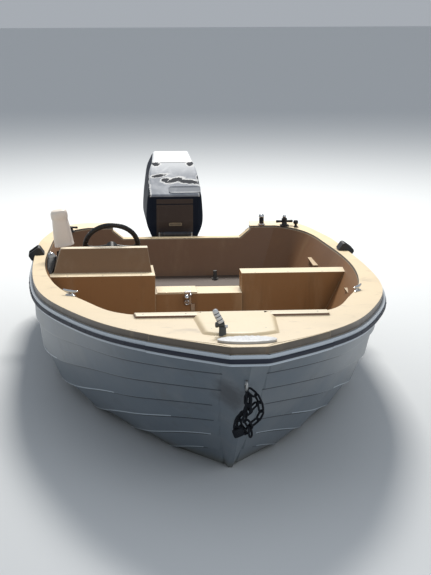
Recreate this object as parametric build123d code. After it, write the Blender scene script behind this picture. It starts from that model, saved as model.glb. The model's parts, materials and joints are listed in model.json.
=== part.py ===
from build123d import *
from math import cos, radians, sin, sqrt
import os

# Console motorboat afloat, whole hull, with its outboard motor.
# Millimetres. +Z up, bow towards -Y, port side +X, Z = 0 is the waterline.

# hull stations on canted planes that swing from the transom to the stem line
# keel_y, keel_z and sheer_y, sheer_z place the plane's line, half_beam is at the sheer,
# bilge_x and bilge_t place the corner that pulls the section out to the bilge
stations = [
    dict(keel_y=2155, keel_z=-130, sheer_y=2245, sheer_z=430, half_beam=875, bilge_x=820, bilge_t=0.12),
    dict(keel_y=1500, keel_z=-140, sheer_y=1500, sheer_z=470, half_beam=925, bilge_x=880, bilge_t=0.12),
    dict(keel_y=800, keel_z=-140, sheer_y=800, sheer_z=510, half_beam=940, bilge_x=900, bilge_t=0.125),
    dict(keel_y=150, keel_z=-140, sheer_y=100, sheer_z=550, half_beam=925, bilge_x=870, bilge_t=0.14),
    dict(keel_y=-350, keel_z=-140, sheer_y=-500, sheer_z=590, half_beam=860, bilge_x=710, bilge_t=0.15),
    dict(keel_y=-720, keel_z=-130, sheer_y=-1100, sheer_z=640, half_beam=710, bilge_x=510, bilge_t=0.17),
    dict(keel_y=-980, keel_z=-120, sheer_y=-1600, sheer_z=680, half_beam=525, bilge_x=350, bilge_t=0.20),
    dict(keel_y=-1150, keel_z=-100, sheer_y=-1980, sheer_z=715, half_beam=285, bilge_x=190, bilge_t=0.27),
    dict(keel_y=-1250, keel_z=-90, sheer_y=-2180, sheer_z=735, half_beam=105, bilge_x=75, bilge_t=0.40),
]
bilge_weight = 2.2
station_step = 0.5
strake_count = 8
strake_lap = 12
hull_thickness = 16
hull_top_extension = 90
transom_thickness = 40
stem_inner_setback = 40
stem_half_width = 11
stem_foot = (-1290, -90)
stem_head = (-2300, 745)

# sheer of the deck edge
stern_deck_z = 490
sheer_rise = 310
sheer_linear_share = 0.5
sheer_aft_y = 2300
sheer_length = 4600
stern_kick_rise = 45
stern_kick_y = 1950
stern_kick_length = 330
band_aft_y = 2580
band_step = 210
band_steps = 25
deck_thickness = 12
deck_overhang = 8
flange_depth = 34
flange_thickness = 10

# rub rail, a white channel with a dark insert
rail_top_drop = 34
rail_insert_top_drop = 51
rail_insert_bottom_drop = 69
rail_bottom_drop = 81
rail_back = 6
rail_upper_reach = 15
rail_lower_reach = 11
rail_insert_reach = 19

# stern of the deck outline
stern_edge_y = 2280
stern_corner = [(620, 2272), (800, 2190), (893, 1950)]
nose_half_width = 75
nose_y = -2268
nose_point = 4

# cockpit tub, half breadths on the sole plane and on a plane above the deck
tub_floor_z = 40
tub_floor_thickness = 14
tub_top_z = 800
tub_wall = 9
tub_rows = [
    dict(floor_y=2075, floor_x=470, top_y=2250, top_x=700),
    dict(floor_y=2000, floor_x=575, top_y=2120, top_x=900),
    dict(floor_y=1700, floor_x=600, top_y=1700, top_x=1000),
    dict(floor_y=1000, floor_x=620, top_y=1000, top_x=1008),
    dict(floor_y=400, floor_x=600, top_y=400, top_x=974),
    dict(floor_y=0, floor_x=545, top_y=0, top_x=918),
    dict(floor_y=-400, floor_x=400, top_y=-400, top_x=838),
    dict(floor_y=-700, floor_x=270, top_y=-800, top_x=715),
    dict(floor_y=-930, floor_x=150, top_y=-1215, top_x=520),
    dict(floor_y=-950, floor_x=110, top_y=-1275, top_x=440),
]

# transom cutout and motor board
cutout_half_bottom = 389
cutout_half_top = 456
cutout_z = 436
cutout_step_z = 489
motor_gap_half = 405
cutout_front_y = 2080
board_half_width = 440
board_thickness = 36
board_bottom_z = 60

cap_thickness = 6
cap_back_y = 2238
keel_half_width = 18
lip_back_y = -1228
lip_front_y = -1345
panel_height = 14
sole_margin = 12
sole_thickness = 6

# consoles and centre sill
console_top_thickness = 10
helm_back_y = 930
port_setback = 30
bench_front_y = 1780
bench_top_z = 200
wheel_x = -489
wheel_y = 1000
wheel_z = 616
wheel_radius = 170
rim_radius = 14.5
spoke_angles = (8, 90, 172)
hub_radius = 32
shaft_radius = 9
shaft_clearance = 0.05
control_inner_x = -812
control_front_y = 931
lever_y = 985
lever_lean = 9
jug_x = -766
jug_bottom_z = 628
jug_height = 214
jug_wall = 3
pad_x = 937
pad_y = 1200
pad_z = 541
pad_size = (84, 104, 56)
pad_lean = 35
pad_round = 16
pad_rim = 10
pad_recess = 9
console_front_y = 625
console_ledge_z = 510
console_inner_x = 250
console_wall = 12
helm_ledge_back_y = 717
helm_depth = 300
dash_profile = [(717, 510), (800, 640), (860, 640), (930, 510)]
dash_hollow_profile = [(727, 509), (805, 632), (855, 632), (921, 509)]
dash_ends = [(-832, 505), (-786, 645), (-286, 645), (-264, 505)]
dash_wall = 8
port_ledge_back_y = 790
sill_top_z = 400
sill_front_y = 632
sill_back_y = 826

light_lean = 19

# bow eye and the chain hung in it
seat_gap = 0.3
eye_y = -2142
eye_z = 600
eye_radius = 24
eye_tube = 5
link_length = 40
link_width = 26
link_bar = 6.7
link_count = 15
chain_lead = 0.5
# x and z of the hank that the chain hangs in
chain_path = [
    (0, 557),
    (34, 530),
    (64, 484),
    (58, 430),
    (24, 390),
    (-16, 396),
    (-44, 428),
    (-46, 472),
    (-22, 522),
]
padlock_place = (-36, -2142, 380)
padlock_size = (44, 24, 34)

# motor
motor_x = -35
tilt_y = 2262
tilt_z = 452
steer_y = 2400
tube_radius = 11
tube_half = 104
sleeve_radius = 17
sleeve_half = 76
arm_head_radius = 16
pin_radius = 14
pivot_clearance = 0.05
arm_inner = 82
arm_outer = 96
flange_reach = 130
bolt_heights = (180, 340)
pan_floor_z = 395
pan_top_z = 430
cowl_wall = 6
panel_proud = 5
leg_bottom_z = -140
shaft_z = -330
prop_shaft_radius = 10
prop_front_y = 2673
prop_hub_radius = 42
prop_hub_length = 80
blade_count = 3


def deck_z(y):
    # straight and square parts of the sheer, with the corners kicked up at the stern
    t = (sheer_aft_y - y) / sheer_length
    kick = max(y - stern_kick_y, 0) / stern_kick_length
    rise = sheer_rise * (sheer_linear_share * t + (1 - sheer_linear_share) * t * t)
    return stern_deck_z + rise + stern_kick_rise * kick ** 2


def fair_stations(step):
    # rows between the stations on a cubic through each column, so the loft stays fair
    last = len(stations) - 1
    rows = []
    for k in range(int(last / step) + 1):
        i = min(int(k * step), last - 1)
        f = k * step - i
        row = {}
        for key in stations[0]:
            a = stations[i][key]
            b = stations[i + 1][key]
            slope_a = (b - stations[i - 1][key]) / 2 if i > 0 else b - a
            slope_b = (stations[i + 2][key] - a) / 2 if i < last - 1 else b - a
            start = (2 * f ** 3 - 3 * f ** 2 + 1) * a + (f ** 3 - 2 * f ** 2 + f) * slope_a
            row[key] = start + (3 * f ** 2 - 2 * f ** 3) * b + (f ** 3 - f ** 2) * slope_b
        rows.append(row)
    return rows


def section_curve(row, steps=240):
    # smooth section of one station as plane distances, x out from the centreline and t up the plane
    points = []
    for i in range(steps + 1):
        s = i / steps
        d = (1 - s) ** 2 + 2 * bilge_weight * s * (1 - s) + s * s
        x = (2 * bilge_weight * s * (1 - s) * row["bilge_x"] + s * s * row["half_beam"]) / d
        t = (2 * bilge_weight * s * (1 - s) * row["bilge_t"] + s * s) / d
        points.append((x, t))
    return points


def plane_length(row):
    return sqrt((row["sheer_y"] - row["keel_y"]) ** 2 + (row["sheer_z"] - row["keel_z"]) ** 2)


def place(row, x, h, shift_y=0.0):
    # point of a station plane, x out and h up along the plane's line
    share = h / plane_length(row)
    y = row["keel_y"] + (row["sheer_y"] - row["keel_y"]) * share + shift_y
    z = row["keel_z"] + (row["sheer_z"] - row["keel_z"]) * share
    return (x, y, z)


def strake_points(row):
    # plank edges at equal shares of the girth, each with its outward normal in the plane
    curve = [(x, t * plane_length(row)) for x, t in section_curve(row)]
    run = [0.0]
    for a, b in zip(curve, curve[1:]):
        run.append(run[-1] + sqrt((b[0] - a[0]) ** 2 + (b[1] - a[1]) ** 2))
    out = []
    for k in range(strake_count + 1):
        goal = run[-1] * k / strake_count
        i = 0
        while i < len(run) - 2 and run[i + 1] < goal:
            i += 1
        share = (goal - run[i]) / (run[i + 1] - run[i])
        a = curve[i]
        b = curve[i + 1]
        x = a[0] + (b[0] - a[0]) * share
        h = a[1] + (b[1] - a[1]) * share
        size = sqrt((b[0] - a[0]) ** 2 + (b[1] - a[1]) ** 2)
        out.append((x, h, (b[1] - a[1]) / size, -(b[0] - a[0]) / size))
    return out


def both_sides(points):
    # closed section from its port half, which starts and ends on the centreline
    return points + [(-x, y, z) for x, y, z in reversed(points[1:-1])]


def section_loft(halves, ruled=False):
    wires = [Wire.make_polygon([Vector(*p) for p in both_sides(half)], close=True) for half in halves]
    return Solid.make_loft(wires, ruled)


def clinker_polygon(row):
    edges = strake_points(row)
    polygon = [place(row, edges[0][0], edges[0][1])]
    for x, h, nx, nh in edges[1:-1]:
        polygon.append(place(row, x, h))
        polygon.append(place(row, x + strake_lap * nx, h + strake_lap * nh))
    x, h = edges[-1][0], edges[-1][1]
    polygon.append(place(row, x, h))
    polygon.append(place(row, x, h + hull_top_extension))
    polygon.append(place(row, 0, h + hull_top_extension))
    return polygon


def smooth_polygon(row, inset, shift_y):
    edges = strake_points(row)
    keel_lift = inset * 1.15
    polygon = [place(row, 0, edges[0][1] + keel_lift, shift_y)]
    for x, h, nx, nh in edges[1:]:
        polygon.append(place(row, max(x - inset * nx, 3), h - inset * nh, shift_y))
    x, h = edges[-1][0], edges[-1][1]
    top = h + hull_top_extension + 10
    polygon.append(place(row, max(x - inset * edges[-1][2], 3), top, shift_y))
    polygon.append(place(row, 0, top, shift_y))
    return polygon


def stem_polygons():
    row = stations[-1]
    edges = strake_points(row)
    length = plane_length(row)
    near = [place(row, x, h) for x, h, nx, nh in edges]
    near.append(place(row, edges[-1][0], length + hull_top_extension))
    near.append(place(row, 0, length + hull_top_extension))
    far = []
    rise = [h / length for x, h, nx, nh in edges]
    rise = rise + [1 + hull_top_extension / length, 1 + hull_top_extension / length]
    for k, share in enumerate(rise):
        x = 0 if k in (0, len(rise) - 1) else stem_half_width
        y = stem_foot[0] + (stem_head[0] - stem_foot[0]) * share
        z = stem_foot[1] + (stem_head[1] - stem_foot[1]) * share
        far.append((x, y, z))
    return [near, far]


def grown(points, grow):
    # points of an open line moved square to it, outwards for a line that runs from stern to bow
    out = []
    for i, (x, y) in enumerate(points):
        before = points[max(i - 1, 0)]
        after = points[min(i + 1, len(points) - 1)]
        dx = after[0] - before[0]
        dy = after[1] - before[1]
        size = sqrt(dx * dx + dy * dy)
        out.append((x - grow * dy / size, y + grow * dx / size))
    return out


def outline(grow):
    # deck outline in plan, grown outwards
    side = [(row["half_beam"] + deck_overhang, row["sheer_y"]) for row in stations[1:]]
    points = grown(stern_corner + side + [(nose_half_width, nose_y)], grow)
    back_y = stern_edge_y + grow
    front_y = nose_y - nose_point - grow
    edge = Spline(*points[:-1])
    a = points[0]
    b = points[-2]
    nose = Line(b, (nose_half_width, nose_y - grow))
    front = Line((nose_half_width, nose_y - grow), (0, front_y))
    back = Line((0, back_y), a)
    centre = Line((0, front_y), (0, back_y))
    half = make_face(Curve() + [back, edge, nose, front, centre])
    return half + mirror(half, Plane.YZ)


def prism(grow, low=-700, high=1200):
    return extrude(Pos(0, 0, low) * outline(grow), high - low)


def band(top_drop, bottom_drop, half_x=1300):
    # slab that follows the sheer between two depths under the deck edge
    ys = [band_aft_y - band_step * i for i in range(band_steps)]
    upper = Spline(*[(y, deck_z(y) - top_drop) for y in ys])
    lower = Spline(*[(y, deck_z(y) - bottom_drop) for y in ys])
    ends = [Line(upper @ 0, lower @ 0), Line(upper @ 1, lower @ 1)]
    face = make_face(Curve() + [upper, lower] + ends)
    return extrude(Plane.YZ * face, half_x, both=True)


def tub_wire(key_x, key_y, z, grow):
    points = [(row[key_x] + grow, row[key_y], z) for row in tub_rows]
    points[0] = (tub_rows[0][key_x], tub_rows[0][key_y] + grow, z)
    points[-1] = (tub_rows[-1][key_x], tub_rows[-1][key_y] - grow, z)
    other = [(-x, y, z) for x, y, z in reversed(points)]
    port = Edge.make_spline(points)
    starboard = Edge.make_spline(other)
    bow = Edge.make_line(points[-1], other[0])
    stern = Edge.make_line(other[-1], points[0])
    return Wire([port, bow, starboard, stern])


def tub(grow, floor_z):
    # cockpit tub as a filled body
    low = tub_wire("floor_x", "floor_y", floor_z, grow)
    high = tub_wire("top_x", "top_y", tub_top_z, grow)
    return Solid.make_loft([low, high], True)


def box(x0, x1, y0, y1, z0, z1):
    return Pos((x0 + x1) / 2, (y0 + y1) / 2, (z0 + z1) / 2) * Box(abs(x1 - x0), abs(y1 - y0), abs(z1 - z0))


os.makedirs("parts", exist_ok=True)


def cylinder_between(a, b, radius):
    direction = Vector(*b) - Vector(*a)
    plane = Plane(origin=a, z_dir=direction)
    return plane * Cylinder(radius, direction.length, align=(Align.CENTER, Align.CENTER, Align.MIN))


def side_profile(points, x0, x1):
    # polygon of Y and Z values drawn out along X
    face = make_face(Polyline(*points, close=True))
    return Pos(x0, 0, 0) * extrude(Plane.YZ * face, x1 - x0)


def save(shape, node):
    export_step(shape, "parts/" + node + ".step")
    print(node, round(shape.volume / 1e6, 3), shape.is_valid)


# hull
below_deck = band(deck_thickness, 1700)
rows = fair_stations(station_step)
hull_outer = section_loft([clinker_polygon(row) for row in rows]) + section_loft(stem_polygons(), True)
hull_outer = (hull_outer & prism(-deck_overhang)) & below_deck
inner_rows = [smooth_polygon(rows[0], hull_thickness, -transom_thickness)]
inner_rows += [smooth_polygon(row, hull_thickness, 0) for row in rows[1:-1]]
inner_rows.append(smooth_polygon(rows[-1], hull_thickness, stem_inner_setback))
hull_inner = section_loft(inner_rows) & prism(-deck_overhang - hull_thickness)


def cutout_column(inset, y0, y1):
    # column over the transom cutout, drawn in by the inset
    half = [
        (cutout_half_bottom - inset, cutout_z + inset),
        (cutout_half_top - inset, cutout_step_z + inset),
        (cutout_half_top - inset, 900),
    ]
    other = [(-x, z) for x, z in reversed(half)]
    face = make_face(Polyline(*(half + other), close=True))
    return Pos(0, y1, 0) * extrude(Plane.XZ * face, y1 - y0)


cutout = cutout_column(0, cutout_front_y, 2700)
hull_outer = hull_outer - cutout
hull_shell = hull_outer - hull_inner
save(hull_shell, "hull_shell")

keel_box = box(-keel_half_width, keel_half_width, -700, 2100, -155, -60)
save(keel_box - hull_outer, "keel_strip")

# deck moulding with its flange
fill = tub(0, tub_floor_z)
outer_tub = tub(tub_wall, tub_floor_z - tub_floor_thickness)
deck_prism = prism(0)
deck_slab = (band(0, deck_thickness) & deck_prism) - fill
flange = (band(0, flange_depth) & (deck_prism - prism(-flange_thickness))) - hull_outer
deck = deck_slab + flange - cutout
save(deck, "deck_moulding")

panel_points = [
    (-440, lip_back_y),
    (475, lip_back_y),
    (468, lip_front_y),
    (200, lip_front_y),
    (153, -1880),
    (0, -2030),
    (-150, -1880),
    (-156, lip_front_y),
    (-437, lip_front_y),
]
panel_face = make_face(Polyline(*panel_points, close=True))
panel_column = extrude(Pos(0, 0, 500) * panel_face, 500)
save(band(-panel_height, 0) & panel_column, "foredeck_panel")

# rub rail
rail_body = band(rail_top_drop, rail_bottom_drop) & prism(rail_back)
rail_upper = band(rail_top_drop, rail_insert_top_drop) & prism(rail_upper_reach)
rail_lower = band(rail_insert_bottom_drop, rail_bottom_drop) & prism(rail_lower_reach)
motor_gap = box(-motor_gap_half, motor_gap_half, 2100, 2400, 300, 600)
rub_rail = (rail_body + rail_upper + rail_lower) - hull_outer - prism(-60) - cutout - motor_gap
save(rub_rail, "rub_rail")
insert_ring = prism(rail_insert_reach) - prism(rail_back)
rub_insert = (band(rail_insert_top_drop, rail_insert_bottom_drop) & insert_ring) - cutout
save(rub_insert - motor_gap, "rub_insert")

# cockpit
liner = (outer_tub & below_deck) - fill - cutout
save(liner, "cockpit_liner")
board = box(-board_half_width, board_half_width, 2100, 2260, board_bottom_z, cutout_z)
board = ((board & hull_inner) - outer_tub) - cutout
save(board, "motor_board")
cap = cutout_column(0, cutout_front_y, cap_back_y) - cutout_column(cap_thickness, 2000, 2700)
cap = (cap & band(0, 1700)) - fill
save(cap, "transom_cap")
sole_wire = tub_wire("floor_x", "floor_y", tub_floor_z, -sole_margin)
sole_top = tub_floor_z + sole_thickness
save(Solid.extrude(Face(sole_wire), Vector(0, 0, sole_thickness)), "sole_board")


def inside(x0, x1, y0, y1, z0, z1):
    # box cut off at the cockpit walls
    return box(x0, x1, y0, y1, max(z0, sole_top), z1) & fill


wide = 1100
plate_z = console_ledge_z - console_top_thickness
helm = inside(-wide, -console_inner_x, console_front_y, console_front_y + console_wall, 0, plate_z)
helm += inside(-console_inner_x - console_wall, -console_inner_x, console_front_y, helm_back_y, 0, plate_z)
helm += inside(-wide, -console_inner_x, console_front_y, helm_back_y, plate_z, console_ledge_z)
save(helm, "helm_console")


def dash_block(profile, inset):
    # dash profile between slanted ends drawn in by the inset
    port = [(x - inset, z) for x, z in dash_ends[2:]]
    starboard = [(x + inset, z) for x, z in dash_ends[:2]]
    low = starboard[0][0]
    high = port[1][0]
    ends = starboard + port + [(high, 490), (low, 490)]
    column = Pos(0, 1200, 0) * extrude(Plane.XZ * make_face(Polyline(*ends, close=True)), 600)
    return side_profile(profile, low, high) & column


save(dash_block(dash_profile, 0) - dash_block(dash_hollow_profile, dash_wall), "dash_box")
port_back_y = port_ledge_back_y - console_wall
port_front_y = console_front_y + port_setback
port_box = inside(console_inner_x, wide, port_front_y, port_front_y + console_wall, 0, plate_z)
port_box += inside(console_inner_x, wide, port_back_y, port_ledge_back_y, 0, plate_z)
port_side_x = console_inner_x + console_wall
port_box += inside(console_inner_x, port_side_x, port_front_y, port_ledge_back_y, 0, plate_z)
port_box += inside(console_inner_x, wide, port_front_y, port_ledge_back_y, plate_z, console_ledge_z)
save(port_box, "port_console")
sill_plate_z = sill_top_z - console_wall
sill_x = console_inner_x
sill = inside(-sill_x, sill_x, sill_front_y, sill_front_y + console_wall, 0, sill_plate_z)
sill += inside(-sill_x, sill_x, sill_back_y - console_wall, sill_back_y, 0, sill_plate_z)
sill += inside(-sill_x, sill_x, sill_front_y, sill_back_y, sill_plate_z, sill_top_z)
sill += box(-238, -8, sill_front_y + 8, sill_back_y - 10, sill_top_z, sill_top_z + 6)
save(sill, "centre_sill")
bench = inside(-wide, wide, bench_front_y, bench_front_y + console_wall, 0, bench_top_z - console_wall)
bench += inside(-wide, wide, bench_front_y, 2300, bench_top_z - console_wall, bench_top_z)
save(bench, "stern_bench")
shelf = inside(792, wide, 0, 300, 478, 490)
shelf += inside(765, wide, 1380, 1640, 394, 404)
save(shelf, "side_shelves")

# sill latch, a chrome turn catch on a plate
latch_x = -62
latch_front = sill_front_y - 4
latch = box(latch_x - 18, latch_x + 18, latch_front, sill_front_y, 336, sill_top_z + 9)
latch += box(latch_x - 18, latch_x + 18, latch_front, sill_front_y + 34, sill_top_z + 6, sill_top_z + 9)
latch += Pos(latch_x - 8, latch_front - 12.5, 378) * Sphere(16)
latch += Pos(latch_x + 15, latch_front - 7, 393) * Sphere(9)
latch += Pos(latch_x - 6, latch_front - 5, 348) * Rot(90, 0, 0) * Torus(12, 4)
latch += box(latch_x + 16, latch_x + 38, latch_front - 4, sill_front_y, 300, 340)
save(latch, "sill_latch")
outlet = Pos(205, 1990, bench_top_z) * (Pos(0, 0, 4) * Cylinder(22, 8) + Pos(0, 0, 32) * Cylinder(12, 50))
save(outlet, "bench_outlet")

# steering wheel, turned about an axis square to the dash
dash_slope_y = dash_profile[3][0] - dash_profile[2][0]
dash_slope_z = dash_profile[2][1] - dash_profile[3][1]
slope = sqrt(dash_slope_y ** 2 + dash_slope_z ** 2)
axis_y = dash_slope_z / slope
axis_z = dash_slope_y / slope
wheel_plane = Plane(origin=(wheel_x, wheel_y, wheel_z), x_dir=(1, 0, 0), z_dir=(0, axis_y, axis_z))
face_gap = (wheel_y - dash_profile[2][0]) * axis_y + (wheel_z - dash_profile[2][1]) * axis_z
rim = Torus(wheel_radius - rim_radius, rim_radius)
for angle in spoke_angles:
    spoke = Pos((wheel_radius - rim_radius) / 2, 0, -4) * Box(wheel_radius - rim_radius, 26, 8)
    rim += Rot(0, 0, angle) * spoke
rim += Pos(0, 0, -22) * Cylinder(hub_radius, 48)
save(wheel_plane * rim, "wheel_rim")
shaft_low = -face_gap + 4
shaft = Pos(0, 0, (shaft_low - 46) / 2) * Cylinder(shaft_radius, -46 - shaft_low)
save(wheel_plane * shaft, "wheel_shaft")
mount_top = -56
mount_height = face_gap + mount_top
cup = Cone(38, 26, mount_height, align=(Align.CENTER, Align.CENTER, Align.MIN))
cup -= Cylinder(shaft_radius + shaft_clearance, 400)
save(wheel_plane * Pos(0, 0, -face_gap) * cup, "wheel_mount")

# remote control on the starboard wall, its lever and the jug turned over the lever
control = box(-wide, control_inner_x, control_front_y, control_front_y + 112, 470, 615) & fill
save(control, "control_box")
lever_foot = (control_inner_x + 9, lever_y, 572)
jug_place = Pos(jug_x, lever_y, jug_bottom_z) * Rot(0, -lever_lean, 0)
grip_top = jug_height - jug_wall
lever = cylinder_between((control_inner_x, lever_y, 572), (control_inner_x + 16, lever_y, 572), 20)
lever += jug_place * Pos(0, 0, grip_top - 24) * Cylinder(15, 48)
lever += jug_place * Pos(0, 0, grip_top / 2) * Cylinder(6, grip_top - 20)
lever += cylinder_between(lever_foot, (jug_x, lever_y, jug_bottom_z + 20), 6)
save(lever, "control_lever")
# radius and height of the jug's side from its rim up to the crown
jug_side = [(58, 0), (55, 60), (50, 120), (47, 150), (49, 176), (45, 203), (34, 214)]
outer = jug_side + [(0, jug_height)]
inner = [(x - jug_wall, max(z - jug_wall, 0)) for x, z in reversed(jug_side)]
jug_face = make_face(Polyline(*(outer + [(0, jug_height - jug_wall)] + inner), close=True))
save(jug_place * revolve(Plane.XZ * jug_face, Axis.Z), "lever_cover")


def on_deck(shape):
    # shape cut off at the deck's upper face
    return shape - band(0, 1700)


gunwale = (deck_prism & band(0, 1700)) + (prism(rail_insert_reach) & band(rail_top_drop, 1700))
gunwale &= box(-wide, wide, pad_y - pad_size[1], pad_y + pad_size[1], 300, 700)
pad_block = Box(*pad_size)
pad_block = fillet(pad_block.edges().filter_by(Axis.Y).group_by(Axis.Z)[-1], pad_round)
rim_box = Box(pad_size[0] - 2 * pad_rim, pad_size[1] - 2 * pad_rim, 2 * pad_recess)
pad_block -= Pos(0, 0, pad_size[2] / 2) * rim_box
pads = None
for side in (-1, 1):
    piece = Pos(side * pad_x, pad_y, pad_z) * Rot(0, side * pad_lean, 0) * pad_block - gunwale
    pads = piece if pads is None else pads + piece
save(pads, "gunwale_pads")


def cleat(x, y, turn, size):
    base = deck_z(y)
    post = Pos(x, y, base) * Cylinder(size * 0.16, 2 * size * 0.34)
    horns = Pos(x, y, base + size * 0.36) * Rot(0, 0, turn) * Rot(0, 90, 0) * Cylinder(size * 0.1, size)
    foot = Pos(x, y, base) * Box(size * 0.5, size * 0.5, 12)
    return on_deck(post + horns + foot)


save(cleat(-755, -440, 120, 95) + cleat(755, -440, 60, 95), "side_cleats")
save(cleat(680, 2180, 4, 112) + cleat(-725, 2110, -20, 90), "stern_cleats")
post = Cylinder(24, 12) + Pos(0, 0, 26) * Cylinder(14, 54) + Pos(0, 0, 53) * Sphere(18)
save(on_deck(Pos(530, 2200, deck_z(2200)) * post), "stern_post")
knob = Pos(0, 0, 8) * Cylinder(8, 24) + Pos(0, 0, 28) * Sphere(17)
save(on_deck(Pos(752, 2150, deck_z(2150)) * knob), "stern_knob")

# bow light, a lamp tube clamped on a block
light_y = -1884
light_base = deck_z(light_y) + panel_height
light = Pos(-85, light_y, light_base + 12) * Box(26, 36, 44)
light += Pos(-84, light_y, light_base + 42) * Rot(0, 90, 0) * Cylinder(13, 40)
tube = Pos(0, 0, 9) * Cylinder(19, 18) + Pos(0, 0, 38) * Cylinder(16, 44)
tube += Pos(0, 0, 24) * Cylinder(18, 5)
tube += Pos(0, 0, 58) * Sphere(17)
light += Pos(-84, light_y, light_base + 44) * Rot(0, -light_lean, 0) * tube
save(light - band(-panel_height, 1700), "bow_light")
plate = extrude(Pos(6, -2128, 500) * Ellipse(126, 72), 500)
save((band(-5, 0) & plate), "bow_plate")
eye = Pos(0, eye_y, eye_z) * Rot(0, 90, 0) * Torus(eye_radius, eye_tube)
save(eye - hull_outer, "bow_eye")
outer_slot = SlotOverall(link_length, link_width)
inner_slot = SlotOverall(link_length - 2 * link_bar, link_width - 2 * link_bar)
link_ring = extrude(outer_slot - inner_slot, link_bar / 2, both=True)
top_link_z = eye_z - eye_radius + eye_tube + seat_gap - link_length / 2 + link_bar
links = Pos(0, eye_y, top_link_z) * Rot(90, 0, 0) * Rot(0, 0, 90) * link_ring
strand = Spline(*[(x, eye_y, z) for x, z in chain_path])
for k in range(link_count):
    share = (k + chain_lead) / (link_count - 1 + 2 * chain_lead)
    along = strand.tangent_at(share)
    across = Vector(0, 1, 0) if k % 2 else along.cross(Vector(0, 1, 0))
    links += Plane(origin=strand.position_at(share), x_dir=along, z_dir=across) * link_ring
padlock = fillet(Box(*padlock_size).edges().filter_by(Axis.Y), 7)
shackle_ring = extrude(Circle(16) - Circle(9.5), 3.2, both=True)
shackle = Pos(0, 0, padlock_size[2] / 2) * Rot(90, 0, 0) * shackle_ring
links += Pos(*padlock_place) * (padlock + shackle)
save(links, "bow_chain")


# outboard motor: clamp bracket on the transom
def at_motor(shape):
    return Pos(motor_x, 0, 0) * shape


web_profile = [
    (2170, 110),
    (2238, 430),
    (2248, 446),
    (2276, 446),
    (2276, 392),
    (2296, 380),
    (2296, 300),
    (2262, 110),
]
flange_profile = [(2170, 110), (2170, 390), (2249, 390), (2205, 110)]
transom_zone = hull_outer & box(-400, 400, 2100, 2400, 0, cutout_z + 10)
bracket = cylinder_between((-tube_half, tilt_y, tilt_z), (tube_half, tilt_y, tilt_z), tube_radius)
bracket += cylinder_between((-arm_outer, 2255, 150), (arm_outer, 2255, 150), 7)
port_arm = side_profile(web_profile, arm_inner, arm_outer)
port_arm += side_profile(flange_profile, arm_outer, flange_reach)
port_arm += cylinder_between((arm_inner, tilt_y, tilt_z), (arm_outer, tilt_y, tilt_z), arm_head_radius)
bracket = at_motor(bracket + port_arm + mirror(port_arm, Plane.YZ)) - transom_zone
save(bracket, "clamp_bracket")
bolts = None
for side in (-1, 1):
    for z in bolt_heights:
        x = side * (arm_outer + flange_reach) / 2
        flange_y = 2205 + (z - 110) * (2249 - 2205) / (390 - 110)
        bolt = Pos(x, flange_y + 9, z) * Rot(90, 0, 0) * extrude(RegularPolygon(11, 6), 12)
        bolts = bolt if bolts is None else bolts + bolt
save(at_motor(bolts) - bracket, "clamp_screws")

# swivel bracket, hung on the tilt tube
neck_profile = [
    (2262, 469),
    (2282, 462),
    (2296, 438),
    (2296, 388),
    (2400, 386),
    (2400, 330),
    (2330, 330),
    (2330, 150),
    (2306, 135),
    (2306, 300),
    (2280, 330),
    (2268, 400),
    (2262, 435),
]
swivel = side_profile(neck_profile, -40, 40)
swivel += side_profile([(2306, 135), (2306, 320), (2380, 330), (2380, 140)], -26, 26)
swivel += cylinder_between((-sleeve_half, tilt_y, tilt_z), (sleeve_half, tilt_y, tilt_z), sleeve_radius)
swivel += cylinder_between((0, steer_y, 130), (0, steer_y, 385), 27)
bore = tube_radius + pivot_clearance
swivel -= cylinder_between((-tube_half, tilt_y, tilt_z), (tube_half, tilt_y, tilt_z), bore)
swivel -= cylinder_between((0, steer_y, 100), (0, steer_y, 400), pin_radius + pivot_clearance)
save(at_motor(swivel), "swivel_bracket")

# cowl as the common body of three outlines, side, front and plan
cowl_side = [
    (2352, 395),
    (2342, 520),
    (2345, 702),
    (2600, 892),
    (2800, 934),
    (2870, 912),
    (2896, 660),
    (2882, 440),
    (2862, 395),
]
# half widths of the cowl at heights
cowl_front_half = [
    (148, 395),
    (154, 425),
    (181, 490),
    (188, 580),
    (178, 700),
    (170, 770),
    (156, 842),
    (134, 892),
    (118, 940),
]
cowl_plan_radius = 60
cowl_mid_y = 2619
cowl_edge_round = 18


def cowl_body(inset, lift, edge_round):
    # the side outline shrinks about its middle, its underside goes up by the lift
    shrink = 1 - inset / 275
    side = []
    for y, z in cowl_side:
        side.append((cowl_mid_y + (y - cowl_mid_y) * shrink, z + (lift if z < 400 else -inset)))
    half = [(x - inset, z + (lift if z < 400 else 0)) for x, z in cowl_front_half]
    top = half[-1][1]
    port = Spline(*half)
    starboard = Spline(*[(-x, z) for x, z in half])
    closes = [Line((-half[0][0], half[0][1]), half[0]), Line((-half[-1][0], top), half[-1])]
    front_face = make_face(Curve() + [port, starboard] + closes)
    block = side_profile(side, -260, 260)
    block &= Pos(0, 3000, 0) * extrude(Plane.XZ * front_face, 800)
    plan = Pos(0, cowl_mid_y) * RectangleRounded(400 - 2 * inset, 556 - 2 * inset, cowl_plan_radius)
    block &= extrude(Pos(0, 0, 300) * plan, 700)
    return fillet([edge for edge in block.edges() if edge.bounding_box().min.Z > 690], edge_round)


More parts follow.
